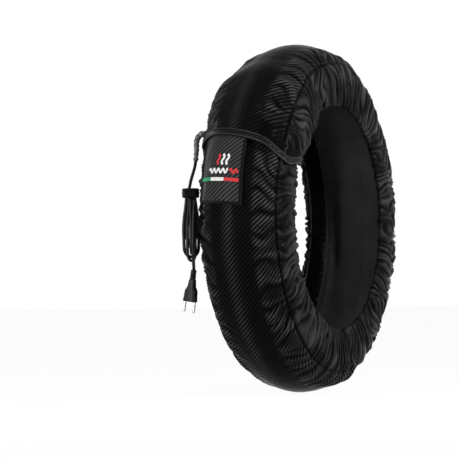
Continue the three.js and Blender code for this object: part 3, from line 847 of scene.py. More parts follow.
def add_piece(parts: MeshParts, name: str, material: Material, slot: str,
              *replaced: str) -> bpy.types.Object:
    """Make an object from its mesh parts, dress it and tie it to the frame.

    Args:
        parts: The mesh parts.
        name: The piece's name.
        material: Its finish.
        slot: Not used.
        replaced: CAD nodes that it stands for.

    Returns:
        The object.
    """
    mesh = parts.mesh(name)
    mesh.materials.append(material)
    piece = bpy.data.objects.new(name, mesh)
    bpy.context.scene.collection.objects.link(piece)
    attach(piece, "root")
    if replaced:
        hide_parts(*replaced)
    mesh.calc_loop_triangles()
    LOG.info("%s: %d triangles", name, len(mesh.loop_triangles))
    return piece


# The wrap


@dataclass(frozen=True)
class WrapShape:
    """The cover's oval section, carried round the axis."""

    crown_radius: float = 0.312
    crown_rise: float = 0.072
    half_width: float = 0.0765
    side_drop: float = 0.100

    @property
    def widest_radius(self) -> float:
        """Distance of the widest line from the axis."""
        return self.crown_radius - self.crown_rise

    def radius(self, angle: Array, height: Array = 0.0) -> Array:
        """Distance from the axis: widest + (the rise up to 90 or the drop past it, + height) cos(angle)."""
        reach = np.where(np.abs(angle) <= 90, self.crown_rise, self.side_drop)
        return self.widest_radius + (reach + height) * np.cos(np.radians(angle))

    def place(self, around: Array, angle: Array, height: Array = 0.0) -> Array:
        """Points of the wrap.

        The section is an ellipse of that radius, with across = (half width + height) sin(angle).

        Args:
            around: Angle round the axis.
            angle: Section angle.
            height: Height above the cover.

        Returns:
            The points.
        """
        around, angle, height = np.broadcast_arrays(around, angle, height)
        turn, tilt = np.radians(around), np.radians(angle)
        radius = self.radius(angle, height)
        across = (self.half_width + height) * np.sin(tilt)
        return np.stack([-radius * np.cos(turn), across, radius * np.sin(turn)], axis=-1)

    def normal(self, around: Array, angle: Array) -> Array:
        """Direction straight out of the wrap's surface.

        Args:
            around: Angle round the axis.
            angle: Section angle.

        Returns:
            Unit directions.
        """
        round_it = self.place(np.add(around, 0.5), angle) - self.place(np.subtract(around, 0.5), angle)
        across = self.place(around, np.add(angle, 0.5)) - self.place(around, np.subtract(angle, 0.5))
        return unit(np.cross(round_it, across))

    def across_length(self, angle: Array) -> Array:
        """Distance along the section from the middle of the tread, in metres.

        Args:
            angle: Section angle.

        Returns:
            The distances, minus on the near side.
        """
        fine = np.linspace(-125, 125, 1001)
        line = self.place(0.0, fine)
        along = np.concatenate([[0], np.cumsum(np.linalg.norm(np.diff(line, axis=0), axis=1))])
        return np.interp(angle, fine, along - along[500])


@dataclass(frozen=True)
class Gathers:
    """Heights of the puckers and gathers, all outwards from the cover."""

    soft_folds: int = 61
    soft_height: float = 0.0066
    fine_folds: int = 107
    fine_height: float = 0.0046
    hem_folds: int = 82
    hem_height: float = 0.0036
    start: float = 19.0
    seam: float = 62.0

    def height(self, around: Array, angle: Array) -> Array:
        """Relief before it fades towards the strip's ends.

        Each layer is |sin| of folds times the angle round the axis, bent by noise so that folds lean,
        part and join. Its rounded ridges have narrow valleys, and noise makes some ridges low.

        Args:
            around: Angle round the axis.
            angle: Section angle.

        Returns:
            The heights, in metres.
        """
        size = np.abs(angle)
        near, far = self._layers(around, size, 11), self._layers(around + 7, size, 47)
        return np.where(angle < 0, near, far)

    def crest(self, angle: Array, height: Array) -> Array:
        """How high a place stands in its folds: its height over two thirds of the tallest fold there.

        Where there are no folds it is 0.32, and 0.78 along the middle of the tread, as a painted highlight.

        Args:
            angle: Section angle.
            height: Height of the relief there, in metres.

        Returns:
            The crest, from 0 in a valley to 1 on a ridge.
        """
        size = np.abs(angle)
        soft, fine, hem = self._shares(size)
        tallest = self.soft_height * soft + self.fine_height * fine + self.hem_height * hem
        folded = smoothstep(tallest, 0.0008, 0.0050)
        # Painted highlight: a lighter band down the middle of the tread, where the key lamp's highlight
        # falls.
        plain = 0.32 + 0.46 * np.exp(-((np.asarray(angle) - 3) / 9) ** 2)
        # The cloth's colour follows the crest, so the fold valleys get painted shade and the ridges a
        # painted highlight.
        return plain * (1 - folded) + folded * np.clip(height / np.maximum(0.66 * tallest, 1e-5), 0, 1)

    def _shares(self, size: Array) -> tuple[Array, Array, Array]:
        """Log how far the visual model's box reaches past the CAD box, in millimetres.
        """
        soft = smoothstep(size, self.start, 47) * (1 - 0.55 * smoothstep(size, 62, 92))
        fine = 0.85 * smoothstep(size, 24, 45) + 0.15 * smoothstep(size, 54, 80)
        return soft, fine, smoothstep(size, 80, 104)

    def _layers(self, around: Array, size: Array, seed: int) -> Array:
        """The three layers on one side of the cover.

        Args:
            around: Angle round the axis.
            size: Section angle without its sign.
            seed: Seed of the noise.

        Returns:
            The heights, in metres.
        """
        share = size / 120
        lean = lattice_noise(around, share, 26, 4, seed)
        bend = lattice_noise(around, share, 70, 6, seed + 1)
        tall = lattice_noise(around, share, 52, 5, seed + 2)
        turns = np.asarray(around) / 360
        soft = np.abs(np.sin(np.pi * (self.soft_folds * turns + 0.9 * lean + 0.35 * bend))) ** 0.7
        fine = np.abs(np.sin(np.pi * (self.fine_folds * turns + 1.1 * lean + 0.6 * bend))) ** 0.75
        hem = np.abs(np.sin(np.pi * (self.hem_folds * turns + 0.8 * lean + 0.9 * bend))) ** 0.8
        shares = self._shares(size)
        soft *= (0.62 + 0.38 * tall) * shares[0]
        fine *= (0.62 + 0.38 * bend) * shares[1]
        hem *= (0.7 + 0.3 * tall) * shares[2]
        seam = np.exp(-(((size - self.seam) / 1.5) ** 2))
        dent = 0.0005 * lattice_noise(around, share, 14, 2, seed + 3) * (1 - smoothstep(size, 20, 40))
        total = self.soft_height * soft + self.fine_height * fine + self.hem_height * hem
        return total * (1 - 0.55 * seam) + dent


@dataclass(frozen=True)
class StripEnds:
    """How the strip overlaps itself: the lifted flap end, its edge line and the tongue under it."""

    edge: float = 25.5
    lift: float = 0.008
    overlap: float = 25.2
    ramp: float = 14.0
    droop: float = 2.6
    tilt: float = 0.045
    settle: float = 20.5
    plain: float = 2.8
    fade: float = 9.0
    edge_wave: float = 0.0022

    def shift(self, angle: Array) -> Array:
        """How far the flap's edge line lies above or below its middle at a section angle.

        Args:
            angle: Section angle.

        Returns:
            The shift, in degrees round the axis.
        """
        size = np.abs(angle)
        side = np.where(np.asarray(angle) < 0, -1, 1)
        droop = self.droop * np.sin(np.pi * smoothstep(size, 30, 113))
        return side * self.tilt * size * (1 - smoothstep(size, 70, 113)) - droop

    def around(self, distance: Array, angle: Array) -> Array:
        """Angle round the axis at a distance from the flap's edge, in degrees."""
        return self.edge + distance + self.shift(angle) * (1 - smoothstep(distance, 0, self.settle))

    def height(self, distance: Array) -> Array:
        """Lift of the flap over the tongue, which falls to nothing past the overlap."""
        return self.lift * (1 - smoothstep(distance, self.overlap, self.overlap + self.ramp))


@dataclass(frozen=True)
class OutletPlace:
    """Where the cord leaves the cover, kept flat for its patch."""

    around: float = 32.4
    angle: float = 71.0
    reach_around: float = 4.6
    reach_across: float = 13.0


@dataclass(frozen=True)
class Wrap:
    """The cover's whole surface: the section, the flap's lift and the gathers together."""

    shape: WrapShape = WrapShape()
    gathers: Gathers = Gathers()
    ends: StripEnds = StripEnds()
    outlet: OutletPlace = OutletPlace()

    def relief(self, distance: Array, angle: Array, length: float) -> Array:
        """Height of the gathers at a distance along a strip of that length.

        Near the flap's edge the gathers give way to one slow wave along the edge, and near the
        tucked end they fade out. Round the cord's outlet the cloth lies flat.

        Args:
            distance: Distance from the flap's edge, in degrees.
            angle: Section angle.
            length: Length of the strip, in degrees.

        Returns:
            The heights, in metres.
        """
        distance, angle = np.broadcast_arrays(np.asarray(distance, float), np.asarray(angle, float))
        size = np.abs(angle)
        around = self.ends.around(distance, angle)
        general = self.gathers.height(around, angle)
        wave = 0.5 + 0.5 * np.sin(np.radians(size * 11 + np.where(angle < 0, 60, 200)))
        edge = self.ends.edge_wave * wave * smoothstep(size, 34, 66)
        share = smoothstep(distance, self.ends.plain, self.ends.plain + self.ends.fade)
        tucked = 1 - smoothstep(distance, length - 14, length - 4)
        gap = ((around - self.outlet.around) / self.outlet.reach_around) ** 2
        gap = gap + ((angle - self.outlet.angle) / self.outlet.reach_across) ** 2
        flat = 1 - np.exp(-(gap**1.5)) * (distance < 180)
        return (edge * (1 - share) + general * share * tucked) * flat

    def place(self, distance: Array, angle: Array, length: float, height: Array = 0.0) -> Array:
        """Points of the cover's face, or of a layer at a height above it."""
        lift = self.ends.height(distance) + self.relief(distance, angle, length) + height
        return self.shape.place(self.ends.around(distance, angle), angle, lift)


def stitches(centres: Array, along: Array, normal: Array,
             length: float = 0.0034, radius: float = 0.00042) -> MeshParts:
    """A row of sewn stitches in one mesh, each a thin bowed bead that dips in at its ends.

    Args:
        centres: Middle of each stitch.
        along: Direction of each stitch.
        normal: Direction out of the cloth at each.
        length: Length of a stitch.
        radius: Radius of the thread.

    Returns:
        The mesh parts.
    """
    parts = MeshParts()
    share = np.linspace(-1, 1, 5)
    thick = radius * np.sqrt(np.clip(1 - share**4, 0.02, 1))
    across = unit(np.cross(normal, along))
    middle = centres[:, None] + along[:, None] * share[None, :, None] * length / 2
    middle = middle + normal[:, None] * (radius * (0.9 - 1.5 * share**2))[None, :, None]
    spread = spokes(ring_turns(5), across, normal)
    rings = middle[:, :, None] + spread[:, None] * thick[None, :, None, None]
    for ring in rings:
        parts.grid(ring, closed=True)
    return parts


@dataclass
class TreadPanel:
    """The strip's middle panel, from the flap's edge round to the tongue tucked under it."""

    wrap: Wrap
    finishes: Finishes
    stations: int = 960
    rows: int = 45
    edge_angle: float = 62.0
    length: float = 385.2
    cloth: float = 0.0011
    flat: tuple[float, float] = (0.182, 2.13)

    def build(self) -> bpy.types.Object:
        """Returns:
            The panel.
        """
        distance = np.linspace(0, self.length, self.stations)[:, None]
        angle = np.linspace(-self.edge_angle, self.edge_angle, self.rows)[None, :]
        points = self.wrap.place(distance, angle, self.length)
        shape = self.wrap.shape
        uv = paired(shape.across_length(angle), np.radians(distance) * shape.crown_radius)
        crest = self.wrap.gathers.crest(angle, self.wrap.relief(distance, angle, self.length))
        parts = MeshParts().shell(points, self.cloth, uv, crest)
        piece = add_piece(parts, "tread_cloth", self.finishes.twill, "cover_cloth", "tread_cover")
        return piece


@dataclass
class Skirt:
    """A gathered side skirt whose hem rolls in round the elastic."""

    wrap: Wrap
    finishes: Finishes
    side: int
    stations: int = 980
    rows: int = 32
    seam_angle: float = 60.6
    hem_angle: float = 111.2
    roll_radius: float = 0.0031
    flange: float = 0.0075
    length: float = 367.2
    cloth: float = 0.0010
    stitch_angle: float = 106.6
    flat: tuple[float, float] = (0.103, 1.98)

    def build(self) -> None:
        """Make the skirt and the sewn row above its hem."""
        name = "near" if self.side < 0 else "far"
        distance = np.linspace(0, self.length, self.stations)[:, None]
        angle = self.side * np.linspace(self.seam_angle, self.hem_angle, self.rows)[None, :]
        past_seam = np.abs(angle) - self.seam_angle
        wall = self.wrap.place(distance, angle, self.length, -0.0013 * (1 - smoothstep(past_seam, 0.4, 2.2)))
        hem = self._hem(distance, wall)
        points = np.concatenate([wall, hem], axis=1)
        steps = np.linalg.norm(np.diff(points, axis=1), axis=2).mean(0)
        across = np.concatenate([[0], np.cumsum(steps)])
        uv = paired(self.side * (0.08 + across), np.radians(distance) * self.wrap.shape.crown_radius)
        crest = self.wrap.gathers.crest(angle, self.wrap.relief(distance, angle, self.length))
        crest = np.concatenate([crest, np.repeat(crest[:, -1:], hem.shape[1], axis=1)], axis=1)
        if self.side < 0:
            points, uv, crest = points[:, ::-1], uv[:, ::-1], crest[:, ::-1]
        parts = MeshParts().shell(points, self.cloth, uv, crest)
        node = f"side_skirt_{name}"
        piece = add_piece(parts, f"skirt_cloth_{name}", self.finishes.skirt, "cover_cloth", node)
        self._stitch(name)

    def _hem(self, distance: Array, wall: Array) -> Array:
        """Points of the hem: half a turn inwards about the elastic, then the flange straight back.

        Args:
            distance: Distance from the flap's edge, in degrees.
            wall: Points of the skirt, whose last column is its edge.

        Returns:
            The points, one row for each station.
        """
        edge = wall[:, -1:]
        around = self.wrap.ends.around(distance, self.side * self.hem_angle)
        sideways = np.array([0.0, float(self.side), 0.0])
        down = unit(edge - wall[:, -3:-2])
        inward = -unit(sideways - down * (sideways * down).sum(-1, keepdims=True))
        turn = np.linspace(0, np.pi, 9)[1:][None, :, None]
        ruffle = lattice_noise(around, np.zeros_like(around), 160, 1, 5 if self.side < 0 else 6)
        roll = self.roll_radius + 0.0012 * ruffle[..., None]
        curve = edge + down * roll * np.sin(turn) + inward * roll * (1 - np.cos(turn))
        back = curve[:, -1:] - down * self.flange * np.linspace(0.33, 1, 3)[None, :, None]
        return np.concatenate([curve, back], axis=1)

    def _stitch(self, name: str) -> None:
        """Two sewn rows: one over the hem's tunnel and one beside the seam.

        Args:
            name: The side, as near or far.
        """
        for row, angle, count in (("hem", self.stitch_angle, 210), ("seam", 64.6, 300)):
            distance = np.linspace(1.5, self.length - 10, count)
            section = np.full(count, self.side * angle)
            centres = self.wrap.place(distance, section, self.length, 0.0001)
            ahead = self.wrap.place(distance + 0.15, section, self.length, 0.0001)
            over = self.wrap.place(distance, section + self.side * 0.8, self.length, 0.0001)
            along = unit(ahead - centres)
            normal = unit(np.cross(along, over - centres)) * self.side
            outwards = self.wrap.shape.normal(self.wrap.ends.around(distance, section), section)
            normal = normal * np.sign((normal * outwards).sum(1, keepdims=True))
            sewn = stitches(centres, along, normal)
            add_piece(sewn, f"{row}_stitches_{name}", self.finishes.thread, "trim_tape")


@dataclass
class EndBinding:
    """The folded tape round the flap's edge, from one hem to the other."""

    wrap: Wrap
    finishes: Finishes
    reach: float = 106.0
    rows: int = 220
    length: float = 385.2
    sewn_rows: tuple[tuple[float, float], ...] = ((0.0026, 0.00115), (0.0087, 0.00145))
    profile: tuple[tuple[float, float], ...] = (
        (11.2, 0.5), (11.1, 1.3), (10.4, 1.95), (9.4, 1.75), (8.2, 1.15), (6.0, 0.95),
        (4.0, 0.95), (2.4, 1.1), (1.0, 1.6), (-0.4, 1.75), (-1.5, 1.1), (-1.9, 0.0),
        (-1.8, -1.3), (-1.1, -2.2), (0.2, -2.45), (5.0, -2.3), (11.0, -2.3), (11.2, -1.9),
        (11.0, -1.45), (5.0, -1.4), (0.2, -1.35), (-0.2, -0.6), (0.2, 0.25), (5.0, 0.25),
    )

    def build(self) -> None:
        """Make the tape and its two sewn rows."""
        angle = np.linspace(-self.reach, self.reach, self.rows)[:, None]
        ahead, height = (np.array(self.profile) / 1000).T
        rings = self._place(angle, ahead[None, :], height[None, :])
        uv = paired(self.wrap.shape.across_length(angle), np.concatenate([ahead, ahead[:1]]))
        tape = MeshParts().sweep(rings, uv)
        add_piece(tape, "end_binding_tape", self.finishes.binding, "trim_tape", "end_binding")
        section = np.linspace(-self.reach + 3, self.reach - 3, 104)
        outwards = self.wrap.shape.normal(self.wrap.ends.edge + self.wrap.ends.shift(section), section)
        for index, (row, top) in enumerate(self.sewn_rows):
            at = self._place(section, row, top)
            along = unit(self._place(section + 0.4, row, top) - at)
            normal = unit(outwards - along * (outwards * along).sum(1, keepdims=True))
            sewn = stitches(at, along, normal, 0.0028)
            add_piece(sewn, f"binding_stitches_{index + 1}", self.finishes.thread, "trim_tape")

    def _place(self, angle: Array, ahead: Array, height: Array) -> Array:
        """Points at a distance ahead of the flap's edge and at a height above the flap, in metres.

        Args:
            angle: Section angle.
            ahead: Distance ahead of the edge.
            height: Height above the flap.

        Returns:
            The points.
        """
        shape, ends = self.wrap.shape, self.wrap.ends
        around = ends.edge + ends.shift(angle) + np.degrees(ahead / shape.radius(angle))
        lift = ends.lift + self.wrap.relief(np.zeros_like(angle), angle, self.length) + height
        return shape.place(around, angle, lift)


@dataclass
class Lining:
    """The quilted inner lining, turned up at its edges to the seam."""

    wrap: Wrap
    finishes: Finishes
    stations: int = 500
    rows: int = 49
    edge_angle: float = 61.8
    level: float = -0.0116
    cloth: float = 0.0008
    panels: int = 17
    seams: tuple[float, ...] = (-45.0, 0.0, 45.0)
    swell: float = 0.0016
    cross_stitches: int = 26
    long_stitches: int = 330
    flat: tuple[float, float] = (0.166, 1.92)

    def height(self, around: Array, angle: Array) -> Array:
        """Pillows between the sewn lines, inwards, and the rise to the seam at the edges.

        A pillow is |sin|^0.35 of the panels round times |sin|^0.35 of the seams across, times the swell.

        Args:
            around: Angle round the axis.
            angle: Section angle.

        Returns:
            The heights, in metres, minus inwards.
        """
        across = np.abs(np.sin(np.pi * self.panels * np.asarray(around) / 360)) ** 0.35
        along = np.abs(np.sin(np.pi * (np.asarray(angle) / 45))) ** 0.35
        rise = smoothstep(np.abs(angle), 57.5, self.edge_angle)
        dents = 0.0006 * lattice_noise(around, (np.asarray(angle) + 62) / 124, 60, 6, 77)
        pillow = -(self.swell * across * along + dents) * (1 - rise)
        return self.level * (1 - rise) - 0.0014 * rise + pillow

    def build(self) -> None:
        """Make the lining's wall and its sewn lines."""
        around = np.linspace(0.4, 359.6, self.stations)[:, None] + 50.5
        angle = np.linspace(-self.edge_angle, self.edge_angle, self.rows)[None, :]
        points = self.wrap.shape.place(around, angle, self.height(around, angle))
        shape = self.wrap.shape
        uv = paired(shape.across_length(angle), np.radians(around) * shape.crown_radius)
        parts = MeshParts().shell(points, self.cloth, uv)
        piece = add_piece(parts, "quilted_lining", self.finishes.lining, "lining_cloth", "inner_lining")
        centres, along = [], []
        section = np.linspace(-55, 55, self.cross_stitches)
        for line in range(self.panels):
            turn = np.full(self.cross_stitches, 360 / self.panels * line)
            centres.append(self._inside(turn, section))
            along.append(self._inside(turn, section + 0.5) - self._inside(turn, section - 0.5))
        for seam in self.seams:
            turn = np.linspace(0, 360, self.long_stitches, endpoint=False)
            section = np.full(self.long_stitches, seam)
            centres.append(self._inside(turn, section))
            along.append(self._inside(turn + 0.2, section) - self._inside(turn - 0.2, section))
        centres, along = np.concatenate(centres), unit(np.concatenate(along))
        outward = unit(centres - unit(centres * [1, 0, 1]) * self.wrap.shape.widest_radius)
        normal = -unit(outward - along * (outward * along).sum(1, keepdims=True))
        sewn = stitches(centres, along, normal, 0.0036)
        add_piece(sewn, "lining_stitches", self.finishes.thread, "lining_cloth")

    def _inside(self, turn: Array, section: Array) -> Array:
        """Points on the lining's inner face."""
        return self.wrap.shape.place(turn, section, self.height(turn, section) - self.cloth)


@dataclass
class PullTab:
    """The tab under the flap's edge, with its edging, heat mark and striped ribbon."""

    wrap: Wrap
    finishes: Finishes
    low: float = 3.4
    high: float = 29.6
    near: float = -17.5
    far: float = 49.0
    slant: float = 0.024
    bottom: float = 0.0034
    thickness: float = 0.0020
    edging: float = 0.0046
    stripe_angle: float = 11.0
    stripe_width: float = 0.0062
    waves_low: float = 15.7
    waves_rise: float = 3.4
    line_level: float = 13.7
    swing: float = 6.6
    flat: tuple[float, float] = (0.088, 0.146)

    def place(self, around: Array, angle: Array, height: Array) -> Array:
        """Points of the tab: its rows slant a little, and its free edge stands off the cover.

        Args:
            around: Angle round the axis.
            angle: Section angle.
            height: Height above the cover.

        Returns:
            The points.
        """
        curl = 0.0016 * (1 - smoothstep(around, self.low - 0.5, self.low + 5)) ** 2
        bow = 0.0007 * np.sin(np.radians(np.asarray(angle) * 6 + np.asarray(around) * 9))
        fade = 1 - smoothstep(around, 20, 25)
        height = height + (curl + np.abs(bow)) * fade
        return self.wrap.shape.place(around + self.slant * angle, angle, height)

    def build(self) -> None:
        """Make the tab and everything sewn or printed on it."""
        around = np.linspace(self.low, self.high, 90)[:, None]
        angle = np.linspace(self.near, self.far, 80)[None, :]
        points = self.place(around, angle, self.bottom + self.thickness)
        shape = self.wrap.shape
        uv = paired(shape.across_length(angle) + 0.0012, np.radians(around) * shape.crown_radius)
        parts = MeshParts().shell(points, self.thickness, uv)
        tab = add_piece(parts, "pull_tab_cloth", self.finishes.tab, "cover_cloth", "pull_tab")
        self._edging()
        self._stripe()
        self._heat_mark()

    def band(self, around: Array, angle: Array, width: float, level: float, thick: float,
             bulge: float = 0.3) -> Array:
        """Rings of a flat tape with rounded edges along a path on the tab.

        Args:
            around: Angles round the axis along the path.
            angle: Section angles along the path.
            width: Width of the tape.
            level: Height of its back above the cover.
            thick: Its thickness.
            bulge: How far its middle lies below its edges, as a share of the thickness.

        Returns:
            Rings by sides by 3.
        """
        line = self.place(around, angle, level)
        above = self.place(around, angle, level + 0.001)
        normal = unit(above - line)
        along = unit(np.gradient(line, axis=0))
        side = unit(np.cross(along, normal))
        x = np.array([-0.5, -0.47, -0.38, -0.15, 0.15, 0.38, 0.47, 0.5, 0.47, -0.47]) * width
        y = np.array([0.35, 0.8, 1.0, 1.0 - bulge, 1.0 - bulge, 1.0, 0.8, 0.35, 0.0, 0.0]) * thick
        return line[:, None] + side[:, None] * x[None, :, None] + normal[:, None] * y[None, :, None]

    def _edging(self) -> None:
        """Black tape round the near, lower and far sides."""
        half = self.edging / 2
        near = self.near + math.degrees(half / self.wrap.shape.crown_rise)
        far = self.far - math.degrees(half / self.wrap.shape.half_width)
        low = self.low + math.degrees(half / self.wrap.shape.crown_radius)
        rise, inset, steps = 0.7, 2.6, 26
        down = np.linspace(24.2, low + rise, steps)
        corner = np.linspace(0, np.pi / 2, 7)[1:-1]
        across = np.linspace(near + inset, far - inset, 40)
        starts, ends = 1 - np.sin(corner), 1 - np.cos(corner)
        around = [down, low + rise * starts, np.full(40, low), low + rise * ends, down[::-1]]
        angle = [np.full(steps, near), near + inset * ends, across, far - inset * starts]
        angle.append(np.full(steps, far))
        around, angle = np.concatenate(around), np.concatenate(angle)
        level = self.bottom + self.thickness + 0.0003
        tape = MeshParts().sweep(self.band(around, angle, self.edging, level, 0.0012))
        add_piece(tape, "tab_edging", self.finishes.edging, "trim_tape", "tab_binding")
        every = respaced(self.place(around, angle, level + 0.0011), 110)
        along = unit(np.gradient(every, axis=0))
        out = unit(every - unit(every * [1, 0, 1]) * self.wrap.shape.widest_radius)
        out = unit(out - along * (out * along).sum(1, keepdims=True))
        sewn = stitches(every, along, out, 0.0022, 0.00034)
        add_piece(sewn, "tab_stitches", self.finishes.thread, "trim_tape")

    def _stripe(self) -> None:
        """The woven ribbon with its three even bands."""
        inset = math.degrees(0.0052 / self.wrap.shape.crown_rise)
        angle = np.linspace(self.far - inset, self.near + inset, 60)
        around = np.full(60, self.stripe_angle)
        level = self.bottom + self.thickness + 0.0002
        rings = self.band(around, angle, self.stripe_width, level, 0.0007, 0.12)
        long = line_length(rings[:, 0])
        v = np.linspace(0, 2.2 * self.stripe_width, rings.shape[1] + 1)
        uv = paired(np.linspace(0, long, 60)[:, None], v)
        colours = (Colour.GREEN.value, Colour.WHITE.value, Colour.RED.value)
        material = Print("striped_ribbon", colours, long).material()
        ribbon = MeshParts().sweep(rings, uv)
        add_piece(ribbon, "striped_ribbon_tape", material, "stripe_tape", "stripe_ribbon")

    def _heat_mark(self) -> None:
        """The generic heat mark: three rising waves over a wavy heating line."""
        level = self.bottom + self.thickness + 0.00005
        share = np.linspace(0, 1, 40)
        white, red = MeshParts(), MeshParts()
        fine = np.linspace(0, 1, 90)
        thick = 0.0003
        around = self.waves_low + self.waves_rise * share
        for middle, target in ((15.6, red), (9.4, white), (3.2, white)):
            angle = middle + 1.5 * np.sin(math.tau * share)
            target.sweep(self.band(around, angle, 0.0042, level, thick, 0.0))
        for start, end, target in ((29.5, 1.2, white), (-0.8, -11.5, red)):
            swings = (start - end) / self.swing
            around = self.line_level + 0.66 * np.sin(math.tau * swings * fine)
            angle = start + (end - start) * fine
            target.sweep(self.band(around, angle, 0.0034, level, thick, 0.0))
        add_piece(white, "heat_mark_white", self.finishes.white, "stripe_tape")
        add_piece(red, "heat_mark_red", self.finishes.red, "stripe_tape")


@dataclass
class Closures:
    """Hook and loop tapes under the flap and behind the tab, each a thin wall that follows the cover."""

    wrap: Wrap
    finishes: Finishes
    flap: tuple[tuple[float, float], tuple[float, float]] = ((30.6, 46.0), (-40, 40))
    tab: tuple[tuple[float, float], tuple[float, float]] = ((6.0, 20.0), (-10, 40))
    tab_slant: float = 0.024

    def patch(self, name: str, around: tuple[float, float], angle: tuple[float, float],
              bottom: float, top: float, slant: float = 0.0) -> None:
        """One tape between two heights above the cover, replacing the node of the same place.

        Args:
            name: The node that it stands for.
            around: Its two ends round the axis.
            angle: Its two ends as section angles.
            bottom: Height of its back.
            top: Height of its face.
            slant: Degrees round the axis for each degree of section.
        """
        turn = np.linspace(*around, 40)[:, None]
        section = np.linspace(*angle, 40)[None, :]
        points = self.wrap.shape.place(turn + slant * section, section, top)
        parts = MeshParts().shell(points, top - bottom)
        add_piece(parts, f"{name}_face", self.finishes.hooks, "trim_tape", name)

    def build(self) -> None:
        """Make the four tapes."""
        self.patch("flap_loop_tape", *self.flap, 0.0004, 0.0024)
        self.patch("flap_hook_tape", *self.flap, 0.0028, 0.0064)
        self.patch("tab_loop_patch", *self.tab, 0.0004, 0.0015, self.tab_slant)
        self.patch("tab_hook_patch", *self.tab, 0.0018, 0.0031, self.tab_slant)


# The cord and what is on it


@dataclass
class Cord:
    """The mains cord: from the strain relief into the tie, down and up in a hank, and on to the plug."""

    wrap: Wrap
    finishes: Finishes
    diameter: float = 0.0056
    length: float = 1.36
    turns: int = 5
    centre: Triple = (-0.262, 0.0945, 0.0)
    reach: float = 0.0150
    tie_reach: tuple[float, float] = (0.0150, 0.0122)
    fan: float = 25.0
    tie_fan: float = 14.0
    tops: tuple[float, ...] = (0.0430, 0.0404, 0.0378, 0.0352, 0.0326)
    feet: tuple[float, ...] = (-0.0690, -0.0755, -0.0630, -0.0520, -0.0420)
    plug_top: Triple = (-0.262, 0.0904, -0.0915)

    def boot_line(self) -> Array:
        """The strain relief's middle line, through the same points as its solid.

        Returns:
            Points down the middle.
        """
        outlet = self.outlet()
        normal = self.outlet_normal()
        return smooth_line(np.array([
            outlet + 0.0033 * normal,
            outlet + 0.0070 * normal,
            [-0.2295, 0.0940, 0.1390],
            [-0.2325, 0.0960, 0.1300],
            [-0.2360, 0.0945, 0.1170],
            [-0.2425, 0.0934, 0.0970],
        ]), 90)

    def outlet(self) -> Array:
        """Where the cord leaves the cover's patch."""
        place = self.wrap.outlet
        return self.wrap.shape.place(place.around, place.angle, 0.0098)

    def outlet_normal(self) -> Array:
        """Direction straight out of the patch."""
        return self.wrap.shape.normal(self.wrap.outlet.around, self.wrap.outlet.angle)

    def local(self, right: Array, front: Array, up: Array) -> Array:
        """Points given across, in front of and above the hank's centre."""
        right, front, up = (np.asarray(x, float)[..., None] for x in (right, front, up))
        return np.array(self.centre) + right * RIGHT + front * FRONT + up * UP

    def strand(self, offset: Array, turn: Array, up: Array) -> Array:
        """Points of a turn: an offset from the hank's axis in a level direction fanned by turn number.

        The fan opens from the tie downwards, and in the tie every second turn lies closer in.

        Args:
            offset: Distance from the hank's axis.
            turn: Number of the turn, from 0.
            up: Height above the hank's centre.

        Returns:
            The points.
        """
        offset, turn, up = np.broadcast_arrays(*(np.asarray(x, float) for x in (offset, turn, up)))
        open_ = 1 - smoothstep(up, -0.020, 0.034)
        angle = np.radians((turn - 2) * (self.tie_fan + (self.fan - self.tie_fan) * open_))
        odd = np.abs((turn % 2) - 1)
        near = self.tie_reach[1] + (self.tie_reach[0] - self.tie_reach[1]) * odd
        reach = near + (self.reach - near) * open_
        bulge = 1 + 0.10 * np.sin(np.pi * np.clip((0.03 - up) / 0.10, 0, 1)) * np.cos(turn * 2.1)
        out = offset / self.reach * reach * bulge
        return self.local(out * np.sin(angle), out * np.cos(angle), up)

    def line(self) -> Array:
        """The whole centre line, in order: lead, turns and tail.

        Returns:
            Points down the middle, evenly spaced.
        """
        tip = self.boot_line()[-1]
        lead = np.array([tip, [-0.2460, 0.0938, 0.0860], [-0.2515, 0.0952, 0.0740],
                         [-0.2570, 0.0964, 0.0620], [-0.2620, 0.0966, 0.0515]])
        pieces = [lead, self.strand([0.0065, 0.0125], 0, [0.0475, 0.0400])]
        straight = np.linspace(0, 1, 6)[1:]
        fold = np.linspace(0, np.pi, 9)[1:]
        reach = self.reach
        for turn in range(self.turns):
            top = self.tops[max(turn - 1, 0)] - reach if turn else 0.034
            foot = self.feet[turn] + reach
            down = top + (foot - top) * straight
            pieces.append(self.strand(reach, turn, down))
            pieces.append(self.strand(reach * np.cos(fold), turn, foot - reach * np.sin(fold)))
            crest = self.tops[turn] - reach
            rise = foot + (crest - foot) * straight
            pieces.append(self.strand(-reach, turn, rise))
            if turn + 1 < self.turns:
                onward = turn + fold / np.pi
                pieces.append(self.strand(-reach * np.cos(fold), onward, crest + reach * np.sin(fold)))
        fold = np.linspace(0, np.pi, 7)[1:-1]
        onward = self.turns - 1 - 0.4 * fold / np.pi
        crest = self.tops[-1] - reach
        pieces.append(self.strand(-reach * np.cos(fold), onward, crest + reach * np.sin(fold)))
        tail = self.local(
            np.array([5.8, 5.2, 4.4, 3.9, 3.8, 3.8, 3.8, 3.8]) / 1000,
            np.array([18.2, 20.0, 20.8, 20.8, 20.4, 17.6, 10.2, 3.6]) / 1000,
            np.array([14.0, 2.0, -14.0, -32.0, -50.0, -67.0, -81.0, -89.0]) / 1000,
        )
        pieces += [tail, np.array([self.plug_top])]
        return smooth_line(np.concatenate(pieces), 900)

    def build(self) -> None:
        self._outlet_pieces()
        line = self.line()
        rings = tube_rings(line, self.diameter / 2, 12, self._side(line))
        cord = add_piece(MeshParts().sweep(rings), "mains_cord", self.finishes.rubber, "cord_rubber",
                         "cord_lead", "cord_hank", "cord_tail")
        LOG.info("cord length %.3f m", line_length(line))
        on_it = [self._tie(), *Plug(self.finishes, self.plug_top).build()]
        tuple(self.boot_line()[-1])

